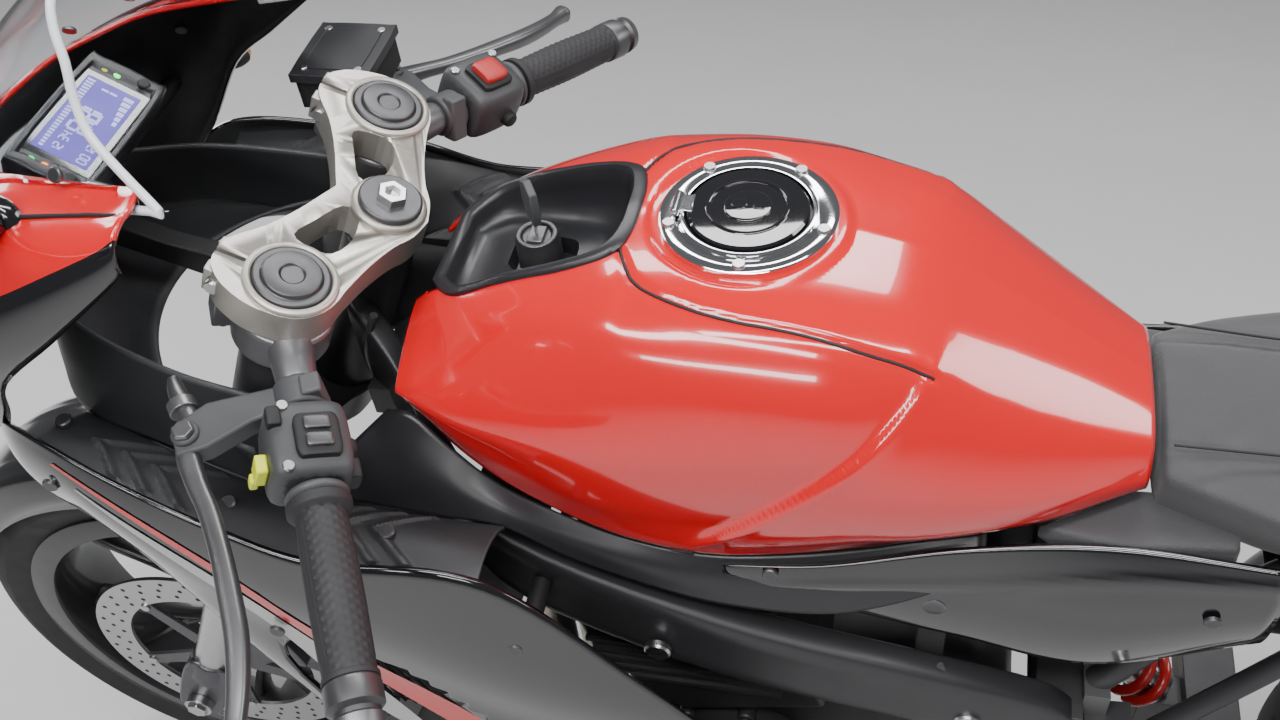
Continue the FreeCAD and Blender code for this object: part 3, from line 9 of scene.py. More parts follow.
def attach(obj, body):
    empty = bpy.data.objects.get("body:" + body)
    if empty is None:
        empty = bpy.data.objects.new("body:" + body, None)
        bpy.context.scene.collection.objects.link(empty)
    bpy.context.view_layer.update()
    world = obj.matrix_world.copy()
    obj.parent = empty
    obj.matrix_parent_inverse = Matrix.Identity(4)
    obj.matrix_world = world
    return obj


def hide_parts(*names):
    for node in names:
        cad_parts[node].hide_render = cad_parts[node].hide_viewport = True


# A faired sport motorcycle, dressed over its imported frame.
# Pieces are drawn in millimetres on the upright machine: +X forward, +Y to its left, +Z up,
# with the origin on the ground midway between the axles. Then they are leaned and placed.
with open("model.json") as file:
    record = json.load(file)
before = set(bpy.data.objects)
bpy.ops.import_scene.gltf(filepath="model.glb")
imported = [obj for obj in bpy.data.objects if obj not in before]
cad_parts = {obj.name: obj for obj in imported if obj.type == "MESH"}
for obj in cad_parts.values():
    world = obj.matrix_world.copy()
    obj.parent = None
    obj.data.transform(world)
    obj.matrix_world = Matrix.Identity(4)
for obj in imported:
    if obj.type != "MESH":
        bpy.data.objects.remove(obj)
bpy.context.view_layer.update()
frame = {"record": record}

LEAN_DEG = 11.0
RAKE_DEG = 25.0
FRONT_AXLE = Vector((687.5, 0, 293.0))
REAR_AXLE = Vector((-687.5, 0, 306.4))
ARM_PIVOT = (-185, 0, 374)
STEM = Vector((360.2, 0, 909.6))
FORK_AHEAD, FORK_OUT = 36, 100
CHAIN_PITCH = 15.875
REAR_TEETH, FRONT_TEETH = 42, 14
LEAN = Matrix.Rotation(math.radians(-LEAN_DEG), 4, "X")
RAKE = Matrix.Rotation(math.radians(-RAKE_DEG), 4, "Y")
JOINTS = {joint["name"]: joint for joint in frame["record"]["behaviour"]["joints"]}
SHIFT = Vector(JOINTS["front_wheel_spin"]["pos_m"]) - LEAN @ (FRONT_AXLE / 1000)
PLACE = Matrix.Translation(SHIFT) @ LEAN @ Matrix.Scale(0.001, 4)
CLAMP = Matrix.Translation(STEM) @ RAKE
X, Y, Z = Vector((1, 0, 0)), Vector((0, 1, 0)), Vector((0, 0, 1))
ORIGIN = (0, 0, 0)
SIDES = (1, -1)
TURN = 2 * math.pi


# Curves and surfaces
def vectors(points):
    return [Vector(p) for p in points]


def flip(points):
    return [Vector((x, -y, z)) for x, y, z in points]


def mirrored_row(half):
    # From the left edge over the middle to the right edge; the last point of half lies on the middle
    return vectors(half) + flip(reversed(half[:-1]))


def smooth_line(points, steps, ring=False):
    # A smooth curve through the points
    points = vectors(points)
    n = len(points)
    out = []
    for i in range(n if ring else n - 1):
        a = points[(i - 1) % n] if ring or i else points[0] * 2 - points[1]
        b, c = points[i], points[(i + 1) % n]
        d = points[(i + 2) % n] if ring or i + 2 < n else points[-1] * 2 - points[-2]
        for k in range(steps):
            t = k / steps
            out.append(0.5 * (2 * b + (c - a) * t + (2 * a - 5 * b + 4 * c - d) * t * t
                              + (3 * b - a - 3 * c + d) * t ** 3))
    return out if ring else out + [points[-1]]


def smooth_flat(pairs, steps, ring=False):
    return smooth_line([(x, y, 0) for x, y in pairs], steps, ring)


def lengthen(rows, steps):
    # Adds rows to a grid, along smooth curves through its columns
    return [list(row) for row in zip(*[smooth_line(column, steps) for column in zip(*rows)])]


def smooth_grid(rows, down, across):
    return lengthen([smooth_line(row, across) for row in rows], down)


def arc3(a, b, c, n):
    # n + 1 places on the arc through three places
    a, b, c = Vector(a), Vector(b), Vector(c)
    u, v = b - a, c - a
    w = u.cross(v)
    if w.length < 1e-3:
        return [a.lerp(c, i / n) for i in range(n + 1)]
    centre = a + (w.cross(u) * v.length_squared + v.cross(w) * u.length_squared) / (2 * w.length_squared)
    x_axis = (a - centre).normalized()
    y_axis = w.normalized().cross(x_axis)
    span = math.atan2((c - centre).dot(y_axis), (c - centre).dot(x_axis)) % TURN
    return [centre + (x_axis * math.cos(span * i / n) + y_axis * math.sin(span * i / n)) * (a - centre).length
            for i in range(n + 1)]


def arc_grid(table, around, along):
    # Columns of table: x, then y and z of the three places on each row's arc
    rows = [arc3((x, ay, az), (x, by, bz), (x, cy, cz), around) for x, ay, az, by, bz, cy, cz in table]
    return lengthen(rows, along)


def spokes(side, other, sides):
    # Directions round a circle that side and other span
    return [side * math.cos(TURN * k / sides) + other * math.sin(TURN * k / sides) for k in range(sides)]


def oval(centre, wide, high, sides, power=1.0, high_power=None):
    # A ring round centre with half axes wide and high, squarer as the powers fall
    ring = []
    for k in range(sides):
        c, s = math.cos(TURN * k / sides), math.sin(TURN * k / sides)
        ring.append(centre + wide * math.copysign(abs(c) ** power, c)
                    + high * math.copysign(abs(s) ** (high_power or power), s))
    return ring


def on_grid(grid, s, t, lift):
    # The place at shares s and t of a grid's rows and columns, lifted off the surface
    r, c = s * (len(grid) - 1), t * (len(grid[0]) - 1)
    i, j = min(int(r), len(grid) - 2), min(int(c), len(grid[0]) - 2)
    u, v = r - i, c - j
    a, b, d, e = grid[i][j], grid[i][j + 1], grid[i + 1][j], grid[i + 1][j + 1]
    place = a * (1 - u) * (1 - v) + b * (1 - u) * v + d * u * (1 - v) + e * u * v
    normal = (d - a).cross(b - a)
    return place + normal.normalized() * lift if normal.length > 1e-9 else place


def inside(x, y, outline):
    hit = False
    for (x0, y0), (x1, y1) in zip(outline, outline[1:] + outline[:1]):
        if (y0 > y) != (y1 > y) and x < (x1 - x0) * (y - y0) / (y1 - y0) + x0:
            hit = not hit
    return hit


def away(x, y, line):
    # Distance from a flat polyline, with the side of its nearest piece
    best, side = 1e9, 1
    for (x0, y0), (x1, y1) in zip(line, line[1:]):
        dx, dy = x1 - x0, y1 - y0
        t = max(0.0, min(1.0, ((x - x0) * dx + (y - y0) * dy) / (dx * dx + dy * dy)))
        d = math.hypot(x0 + dx * t - x, y0 + dy * t - y)
        if d < best:
            best, side = d, 1 if dx * (y - y0) - dy * (x - x0) > 0 else -1
    return best, side


def ease(t):
    t = max(0.0, min(1.0, t))
    return t * t * (3 - 2 * t)


def hump(distance, width):
    return math.exp(-(distance / width) ** 2)


def turned(degrees, axis, place=ORIGIN):
    return Matrix.Translation(place) @ Matrix.Rotation(math.radians(degrees), 4, axis)


class Build:
    # Gathers faces in millimetres on the upright machine, and makes one object of them
    def __init__(self):
        self.verts = []
        self.faces = []
        self.slots = []
        self.slot = 0

    def add(self, verts, faces, matrix=None):
        base = len(self.verts)
        self.verts += [matrix @ Vector(v) if matrix else Vector(v) for v in verts]
        self.faces += [[base + i for i in face] for face in faces]
        self.slots += [self.slot] * len(faces)
        return self

    def grid(self, rows, ring=False, loop=False, caps=False, matrix=None):
        # ring closes each row on itself, loop closes the last row on the first
        n, m = len(rows), len(rows[0])
        faces = []
        for i in range(n if loop else n - 1):
            for j in range(m if ring else m - 1):
                k, l = (i + 1) % n, (j + 1) % m
                faces.append((i * m + j, i * m + l, k * m + l, k * m + j))
        if caps:
            faces += [tuple(range(m)), tuple((n - 1) * m + j for j in reversed(range(m)))]
        return self.add([p for row in rows for p in row], faces, matrix)

    def tube(self, rows, matrix=None):
        return self.grid(rows, ring=True, caps=True, matrix=matrix)

    def turn(self, profile, centre, axis, sides=48, matrix=None, close=False):
        # profile as (distance along the axis, radius); close joins its ends instead of capping them
        axis = Vector(axis).normalized()
        side = axis.orthogonal().normalized()
        circle = spokes(side, axis.cross(side), sides)
        rows = [[Vector(centre) + axis * a + spoke * r for spoke in circle] for a, r in profile]
        return self.grid(rows, ring=True, loop=close, caps=not close, matrix=matrix)

    def plate(self, outline, depth, matrix=None):
        # A flat outline of places, pushed out along the vector depth
        n = len(outline)
        verts = vectors(outline) + [Vector(p) + Vector(depth) for p in outline]
        faces = [tuple(reversed(range(n))), tuple(range(n, 2 * n))]
        faces += [(i, (i + 1) % n, n + (i + 1) % n, n + i) for i in range(n)]
        return self.add(verts, faces, matrix)

    def slab(self, pairs, y, depth):
        # An outline of x and z, from y on across the machine
        return self.plate([(x, y, z) for x, z in pairs], (0, depth, 0))

    def box(self, low, high, matrix=None):
        x0, y0, z0 = low
        x1, y1, z1 = high
        return self.plate([(x0, y0, z0), (x1, y0, z0), (x1, y1, z0), (x0, y1, z0)], (0, 0, z1 - z0), matrix)

    def soft_box(self, low, high, matrix):
        # A box whose ends draw in a little, for moulded housings
        low, high = Vector(low), Vector(high)
        middle, half = (low + high) / 2, (high - low) / 2
        rows = []
        for t, s in ((0, 0.80), (0.06, 0.93), (0.2, 1.0), (0.8, 1.0), (0.94, 0.93), (1, 0.80)):
            centre = Vector((middle.x, low.y + 2 * half.y * t, middle.z))
            rows.append(oval(centre, X * half.x * s, Z * half.z * s, 24, 0.42))
        return self.tube(rows, matrix)

    def pipe(self, points, radius, sides=16, steps=8, matrix=None, smooth=True):
        # radius may be one number, or one for each point
        radii = list(radius) if hasattr(radius, "__len__") else [radius] * len(points)
        line = smooth_line(points, steps) if smooth and len(points) > 2 else vectors(points)
        if len(line) != len(radii):
            radii = [p.x for p in smooth_flat([(r, 0) for r in radii], steps)]
        rows = []
        normal = (line[1] - line[0]).orthogonal().normalized()
        for i, p in enumerate(line):
            tangent = (line[min(i + 1, len(line) - 1)] - line[max(i - 1, 0)]).normalized()
            normal = (normal - tangent * normal.dot(tangent)).normalized()
            rows.append([p + spoke * radii[i] for spoke in spokes(normal, tangent.cross(normal), sides)])
        return self.tube(rows, matrix)

    def bolt(self, place, axis, radius, height, matrix=None):
        # A round head with a socket
        profile = [(0, radius), (height * 0.7, radius), (height, radius * 0.86), (height, radius * 0.55)]
        return self.turn(profile, place, axis, 20, matrix)

    def bolts(self, places, tilt, radius, height):
        # One on each side for every place; tilt is the head's direction on the left
        for x, y, z in places:
            for side in SIDES:
                self.bolt((x, y * side, z), (tilt[0], tilt[1] * side, tilt[2]), radius, height)
        return self

    def mirror(self):
        count = len(self.verts)
        self.verts += flip(self.verts)
        self.faces += [[count + i for i in reversed(face)] for face in self.faces]
        self.slots += list(self.slots)
        return self

    def keep(self, test):
        # Keeps the faces whose middle passes the test
        pairs = [(face, slot) for face, slot in zip(self.faces, self.slots)
                 if test(sum((self.verts[i] for i in face), Vector()) / len(face))]
        self.faces, self.slots = [face for face, _ in pairs], [slot for _, slot in pairs]
        return self

    def mesh(self, name, outward=True, facing=None):
        mesh = bpy.data.meshes.new(name)
        mesh.from_pydata([PLACE @ v for v in self.verts], [], self.faces)
        for polygon, index in zip(mesh.polygons, self.slots):
            polygon.material_index = index
        edit = bmesh.new()
        edit.from_mesh(mesh)
        bmesh.ops.remove_doubles(edit, verts=edit.verts, dist=1e-6)
        if outward:
            bmesh.ops.recalc_face_normals(edit, faces=edit.faces)
        if facing:
            # Turn an open shell's faces away from a place inside it
            edit.normal_update()
            core = PLACE @ Vector(facing)
            if sum(f.calc_area() * f.normal.dot(f.calc_center_median() - core) for f in edit.faces) < 0:
                bmesh.ops.reverse_faces(edit, faces=edit.faces)
        edit.to_mesh(mesh)
        edit.free()
        return mesh

    def make(self, name, materials, slot, replaces=None, body="chassis", thick=0.0, bevel=0.0, bevel_steps=2,
             subdivide=0, angle=35, outward=True, offset=-1.0, inside=None, facing=None):
        mesh = self.mesh(name, outward, facing)
        materials = materials if isinstance(materials, list) else [materials]
        for m in materials + ([inside] if inside else []):
            mesh.materials.append(m)
        mesh.validate()
        for polygon in mesh.polygons:
            polygon.use_smooth = True
        obj = bpy.data.objects.new(name, mesh)
        bpy.context.scene.collection.objects.link(obj)
        if thick:
            mod = obj.modifiers.new("Thickness", "SOLIDIFY")
            mod.thickness = thick / 1000
            mod.offset = offset
            mod.material_offset = len(materials) if inside else 0
        if bevel:
            mod = obj.modifiers.new("Edges", "BEVEL")
            mod.width = bevel / 1000
            mod.segments = bevel_steps
            mod.limit_method = "ANGLE"
            mod.angle_limit = math.radians(32)
        if subdivide:
            mod = obj.modifiers.new("Smooth", "SUBSURF")
            mod.levels = mod.render_levels = subdivide
        mesh.set_sharp_from_angle(angle=math.radians(angle))
        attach(obj, body)
        if replaces:
            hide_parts(replaces)
        return obj


def carve(obj, cutters, shell=False):
    # Cuts holes out of a piece for good; of a shell, only what lies on its old skin stays
    skin = BVHTree.FromPolygons([v.co for v in obj.data.vertices], [p.vertices for p in obj.data.polygons])
    others = list(obj.modifiers)
    helpers = []
    for cutter in cutters:
        helper = bpy.data.objects.new("cutter", cutter.mesh("cutter"))
        bpy.context.scene.collection.objects.link(helper)
        mod = obj.modifiers.new("Cut", "BOOLEAN")
        mod.object = helper
        mod.solver = "EXACT"
        helpers.append(helper)
    for mod in others:
        mod.show_viewport = mod.show_render = False
    bpy.context.view_layer.update()
    obj.data = bpy.data.meshes.new_from_object(obj.evaluated_get(bpy.context.evaluated_depsgraph_get()))
    for mod in [mod for mod in obj.modifiers if mod.type == "BOOLEAN"]:
        obj.modifiers.remove(mod)
    for mod in others:
        mod.show_viewport = mod.show_render = True
    for helper in helpers:
        bpy.data.objects.remove(helper)
    if shell:
        edit = bmesh.new()
        edit.from_mesh(obj.data)
        stray = [f for f in edit.faces if skin.find_nearest(f.calc_center_median())[3] > 0.0003]
        bmesh.ops.delete(edit, geom=stray, context="FACES")
        edit.to_mesh(obj.data)
        edit.free()


# Materials
def material(name, colour, rough=0.4, metal=0.0, coat=0.0, grain=0.0, grain_size=400.0, shade=0.1, blotch=6.0,
             voronoi=False, glass=0.0, emission=0.0, ior=1.5, sheen=0.0, stretch=None, wear=0.0):
    made = bpy.data.materials.new(name)
    made.use_nodes = True
    nodes, links = made.node_tree.nodes, made.node_tree.links
    shader = nodes["Principled BSDF"]

    def node(kind, inputs, output, **settings):
        # A node with its settings and inputs; gives back one of its outputs
        new = nodes.new("ShaderNode" + kind)
        for key, value in settings.items():
            setattr(new, key, value)
        for key, value in inputs.items():
            if isinstance(value, bpy.types.NodeSocket):
                links.new(value, new.inputs[key])
            else:
                new.inputs[key].default_value = value
        return new.outputs[output]

    def tint(factor, more=0.0):
        return (*[min(1, c * factor + more) for c in colour], 1)

    source = node("TexCoord", {}, "Object")
    if stretch:
        source = node("Mapping", {"Scale": stretch, "Vector": source}, "Vector")
    cloud = node("TexNoise", {"Scale": blotch, "Detail": 4, "Vector": source}, "Fac")
    base = node("Mix", {"Factor": cloud, 6: tint(1 - shade), 7: tint(1 + shade)}, 2, data_type="RGBA")
    if wear:
        point = node("NewGeometry", {}, "Pointiness")
        edge = node("MapRange", {"From Min": 0.53, "From Max": 0.62, "Value": point}, "Result")
        base = node("Mix", {"Factor": edge, 6: base, 7: tint(1, wear)}, 2, data_type="RGBA")
    links.new(base, shader.inputs["Base Color"])
    fine = node("TexNoise", {"Scale": blotch * 7, "Detail": 5, "Vector": source}, "Fac")
    dust = node("MapRange", {"To Min": max(0.02, rough * 0.8), "To Max": min(1.0, rough * 1.25),
                             "Value": fine},
                "Result")
    links.new(dust, shader.inputs["Roughness"])
    for key, value in (("Metallic", metal), ("Coat Weight", coat), ("Coat Roughness", 0.03), ("IOR", ior),
                       ("Sheen Weight", sheen), ("Transmission Weight", glass)):
        shader.inputs[key].default_value = value
    if emission:
        shader.inputs["Emission Color"].default_value = (*colour, 1)
        shader.inputs["Emission Strength"].default_value = emission
    if grain:
        if voronoi:
            height = node("TexVoronoi", {"Scale": grain_size, "Vector": source}, "Distance")
        else:
            height = node("TexNoise", {"Scale": grain_size, "Detail": 6, "Vector": source}, "Fac")
        bump = node("Bump", {"Strength": grain, "Distance": 0.0004, "Height": height}, "Normal")
        links.new(bump, shader.inputs["Normal"])
    return made


RED = material("red_paint", (0.72, 0.008, 0.012), 0.16, coat=1.0, shade=0.06, blotch=3.0, grain=0.02,
               grain_size=90)
BLACK = material("black_paint", (0.008, 0.008, 0.010), 0.13, coat=1.0, shade=0.2, grain=0.02, grain_size=80)
TRIM = material("trim_plastic", (0.018, 0.018, 0.021), 0.34, grain=0.10, grain_size=900, shade=0.25)
PLASTIC = material("black_plastic", (0.030, 0.031, 0.034), 0.50, grain=0.25, grain_size=1300, shade=0.3,
                   wear=0.04)
# Near-black plastic; as the seam tubes and the disc's hole marks it is painted shade
DARK = material("shadow_plastic", (0.012, 0.012, 0.013), 0.6, grain=0.2, grain_size=900)
POD = material("pod_plastic", (0.050, 0.052, 0.056), 0.48, grain=0.3, grain_size=1500, shade=0.2, wear=0.05)
FRAME = material("frame_paint", (0.040, 0.040, 0.043), 0.38, metal=0.4, grain=0.12, grain_size=700, wear=0.08)
CLAMP_METAL = material("clamp_metal", (0.46, 0.43, 0.385), 0.42, metal=0.85, grain=0.35, grain_size=650,
                       shade=0.14, blotch=25, wear=0.15)
CAP = material("cap_metal", (0.10, 0.10, 0.105), 0.38, metal=0.8, grain=0.15, grain_size=900, wear=0.1)
STEEL = material("steel", (0.55, 0.55, 0.56), 0.28, metal=1.0, grain=0.1, grain_size=500, shade=0.12)
CHROME = material("chrome", (0.82, 0.82, 0.84), 0.08, metal=1.0, shade=0.03)
PIPE = material("pipe_steel", (0.48, 0.44, 0.38), 0.32, metal=1.0, grain=0.1, grain_size=300, shade=0.25,
                blotch=9)
CAN = material("can_metal", (0.10, 0.10, 0.11), 0.36, metal=0.9, grain=0.12, grain_size=800, wear=0.1)
ENGINE = material("engine_metal", (0.060, 0.060, 0.064), 0.48, metal=0.6, grain=0.4, grain_size=500, wear=0.1)
SEAT = material("seat_cover", (0.045, 0.045, 0.049), 0.62, grain=0.5, grain_size=700, voronoi=True, sheen=0.3)
RUBBER = material("grip_rubber", (0.022, 0.022, 0.024), 0.62, grain=0.4, grain_size=900)
TYRE = material("tyre_rubber", (0.020, 0.020, 0.021), 0.72, grain=0.3, grain_size=500, shade=0.3)
LEVER = material("lever_metal", (0.16, 0.16, 0.165), 0.33, metal=0.8, grain=0.1, grain_size=900, wear=0.2)
BAR = material("bar_metal", (0.20, 0.20, 0.21), 0.36, metal=0.7, grain=0.1, grain_size=900)
DISC = material("disc_steel", (0.50, 0.50, 0.51), 0.30, metal=1.0, grain=0.1, grain_size=600, shade=0.15)
RIM = material("rim_paint", (0.022, 0.022, 0.024), 0.33, metal=0.3, coat=0.3, grain=0.08, grain_size=700)
SMOKE = material("smoked_glass", (0.010, 0.010, 0.012), 0.05, coat=1.0, shade=0.1)
LENS = material("lamp_lens", (0.80, 0.82, 0.85), 0.06, glass=0.85, shade=0.02)
AMBER = material("amber_lens", (0.85, 0.28, 0.02), 0.15, glass=0.35, coat=0.6)
RED_LENS = material("red_lens", (0.55, 0.01, 0.01), 0.12, glass=0.3, coat=0.8)
SCREEN = material("screen", (0.93, 0.95, 0.97), 0.04, glass=1.0, shade=0.01, ior=1.12)
# Opaque pale grey for the clear screen's rolled edge: a painted highlight
SCREEN_RIM_HIGHLIGHT = material("windscreen_rim_painted_highlight", (0.80, 0.83, 0.86), 0.25, shade=0.05)
DISPLAY = material("display", (0.10, 0.075, 0.40), 0.45, emission=0.50, shade=0.15)
INK = material("display_ink", (0.50, 0.52, 0.85), 0.45, emission=0.5)
GREEN = material("green_lamp", (0.02, 0.9, 0.12), 0.3, emission=3.0)
ORANGE = material("orange_lamp", (1.0, 0.22, 0.02), 0.3, emission=3.0)
YELLOW = material("yellow_tab", (0.72, 0.80, 0.03), 0.45, shade=0.1)
KILL = material("kill_switch", (0.45, 0.02, 0.02), 0.4, shade=0.1)
SPRING = material("spring_paint", (0.45, 0.015, 0.015), 0.3, coat=0.5)
CORAL = material("stripe_coral", (0.60, 0.035, 0.03), 0.16, coat=1.0, shade=0.08)
SILVER = material("stripe_silver", (0.42, 0.42, 0.42), 0.18, coat=1.0, metal=0.3, shade=0.08)
FINS = material("radiator_fins", (0.05, 0.05, 0.052), 0.5, metal=0.7, grain=1.0, grain_size=900,
                stretch=(1, 1, 6))
CHAIN = material("chain_steel", (0.28, 0.26, 0.22), 0.34, metal=1.0, grain=0.2, grain_size=700, shade=0.3)
PLATE = material("blank_plate", (0.70, 0.70, 0.68), 0.5, shade=0.05)


# Fuel tank
# Columns: x, crown z, then y and z of: upper bend, shoulder, widest, waist, lower edge
TANK = (
    (-198, 798, 34, 796, 58, 788, 70, 766, 68, 752, 60, 744),
    (-140, 838, 46, 834, 82, 818, 102, 784, 102, 758, 94, 740),
    (-92, 870, 58, 865, 98, 846, 124, 802, 124, 760, 106, 732),
    (-44, 899, 68, 894, 106, 878, 138, 822, 138, 762, 116, 726),
    (0, 913, 74, 908, 114, 890, 145, 834, 144, 764, 122, 716),
    (40, 921, 76, 917, 118, 899, 148, 840, 148, 762, 128, 710),
    (90, 926, 78, 922, 120, 902, 149, 842, 150, 760, 134, 706),
    (130, 927, 78, 923, 120, 900, 149, 840, 150, 764, 136, 708),
    (175, 924, 76, 919, 118, 894, 148, 836, 149, 774, 136, 718),
    (215, 915, 74, 909, 114, 884, 145, 834, 145, 786, 134, 734),
    (255, 905, 68, 898, 108, 872, 138, 834, 138, 800, 130, 756),
    (290, 891, 60, 885, 98, 862, 128, 834, 130, 812, 122, 780),
    (318, 874, 52, 870, 90, 850, 116, 832, 118, 820, 110, 800),
    (338, 856, 48, 853, 84, 840, 106, 828, 106, 822, 98, 812),
)
SEAM = [(172, 44), (158, 71), (137, 84), (109, 93), (81, 97), (56, 98), (10, 100), (-21, 100), (-44, 101)]
CREASE = [(-44, 885), (0, 836), (60, 776), (120, 716)]
TRIM_EDGE = [(318, 36), (306, 50), (290, 59), (263, 59), (235, 58), (218, 57), (191, 52), (176, 42),
             (170, 22), (169, 0)]
FILLER = Vector((90, 0, 920))


def tank_rows():
    return [[Vector((x, 0, top))] + [Vector((x, y, z)) for y, z in zip(rest[0::2], rest[1::2])]
            for x, top, *rest in TANK]


def seam_y(x):
    for (x0, y0), (x1, y1) in zip(SEAM, SEAM[1:]):
        if x1 <= x <= x0:
            return y0 + (y1 - y0) * (x - x0) / (x1 - x0)
    return SEAM[-1][1]


def tank_sink(p):
    # How far the skin sinks at the seam and the knee hollow, and rises along the crease
    sink = 0.0
    if p.z > 840:
        d, _ = away(p.x, p.y, SEAM)
        sink += 2.4 * hump(d, 2.3)
        # The wings lie lower than the top cover, and the step fades out towards its ends
        fade = ease((40 - d) / 24) * ease((p.x + 44) / 30) * ease((172 - p.x) / 14)
        sink += 1.8 * ease((p.y - seam_y(p.x)) / 4) * fade
    if p.y > 60:
        d, side = away(p.x, p.z, CREASE)
        if side > 0 and p.z < 893:
            reach = ease(d / 7) * math.exp(-d / 48)
            sink += 8.5 * reach * ease((893 - p.z) / 60) * ease((p.z - 715) / 40)
        sink -= 1.2 * hump(d, 5.5)
    return sink


def tank():
    seat_radius, seat_level = 74, 921.0
    rows = []
    for row in smooth_grid(tank_rows(), 18, 20):
        out = []
        for k, p in enumerate(row):
            before, after = row[max(k - 1, 0)], row[min(k + 1, len(row) - 1)]
            normal = Vector((0, before.z - after.z, after.y - before.y)).normalized() if k else Z
            # Flat under the filler's flange
            share = ease((seat_radius - math.hypot(p.x - FILLER.x, p.y)) / 7)
            flat = Vector((p.x, p.y, p.z * (1 - share) + seat_level * share))
            out.append(flat - normal * tank_sink(p))
        rows.append(list(reversed(out)) + flip(out[1:]))
    # The skin stops under the trim's lip and the filler's flange
    outline = TRIM_EDGE + [(x, -y) for x, y in reversed(TRIM_EDGE[:-1])]
    small = [(245 + (x - 245) * 0.985, y * 0.98) for x, y in outline]
    small[0], small[-1] = (345, 36), (345, -36)
    b = Build().grid(rows)
    b.keep(lambda c: c.z <= 800 or not (inside(c.x, c.y, small) or math.hypot(c.x - FILLER.x, c.y) < 55))
    b.make("tank_shell", RED, "red_paint", "fuel_tank", thick=3, angle=60, inside=DARK, facing=(90, 0, 800))
    # The gap along the top cover's seam, as a dark tube laid on the skin: painted shade in the gap
    skin = BVHTree.FromPolygons([tuple(v) for v in b.verts], b.faces)
    hits = [skin.ray_cast(Vector((q.x, q.y, 1000)), -Z)[0] for q in smooth_flat([(170, 36)] + SEAM, 8)]
    line = [hit + Z * 0.3 for hit in hits if hit]
    Build().pipe(line, 1.15, 8, smooth=False).mirror().make("tank_seam_painted_shade", DARK, "red_paint")


def tank_top(x, y):
    # Height of the tank's skin over a place
    rows = tank_rows()
    for low, high in zip(rows, rows[1:]):
        if low[0].x <= x <= high[0].x:
            t = (x - low[0].x) / (high[0].x - low[0].x)
            break
    line = smooth_line([a.lerp(c, t) for a, c in zip(low, high)], 8)
    for p, q in zip(line, line[1:]):
        if p.y <= abs(y) <= q.y:
            return p.z + (q.z - p.z) * (abs(y) - p.y) / max(q.y - p.y, 1e-6)
    return line[-1].z


def recess():
    # The dark bowl between the tank's wings, with a raised lip
    half = smooth_flat(TRIM_EDGE, 5)
    edge = [Vector((p.x, p.y, tank_top(min(p.x, 336), p.y) + 1.0)) for p in half + flip(reversed(half[:-1]))]
    middle = Vector((246, 0, 872))
    rows = []
    # Columns: share of the way out from the middle, height over the edge or the floor's share
    for share, lift, floor in ((1.05, -5, 0), (1.045, 1, 0), (1.0, 3.4, 0), (0.93, 3.0, 0), (0.90, 0.0, 0.02),
                               (0.885, -6, 0.15), (0.84, -10, 0.45), (0.74, -10, 0.72), (0.52, -6, 0.92),
                               (0.34, 0, 0.97), (0.30, -12, 1.0), (0.02, -12, 1.0)):
        row = []
        for p in edge:
            q = middle.lerp(p, share)
            q.z = (p.z + lift) * (1 - floor) + (middle.z + lift) * floor
            row.append(q)
        rows.append(row)
    Build().grid(rows, ring=True).make("tank_recess", TRIM, "dark_plastic", "tank_trim", thick=1.5, angle=50)


def lock():
    b = Build()
    b.turn([(0, 17), (26, 17), (29, 15.5), (31, 15.5), (31, 12), (28, 11), (28, 0.5)], (248, 0, 862), Z, 40)
    b.box((242, -9, 889), (254, 9, 893))
    b.make("ignition_lock_body", CAP, "satin_metal", "ignition_lock", bevel=0.8)
    b = Build()
    turn = turned(35, "Z", (248, 0, 0)) @ Matrix.Translation((-248, 0, 0))
    b.plate([(247, -1.2, 892), (247, -4.2, 908), (247, 4.2, 908), (247, 1.2, 892)], (2, 0, 0), turn)
    b.slot = 1
    b.plate([(245, -9, 906), (245, -13, 920), (245, -11, 936), (245, 0, 942), (245, 11, 936), (245, 13, 920),
             (245, 9, 906)], (6, 0, 0), turn)
    b.make("ignition_key", [STEEL, POD], "satin_metal", bevel=1.2)


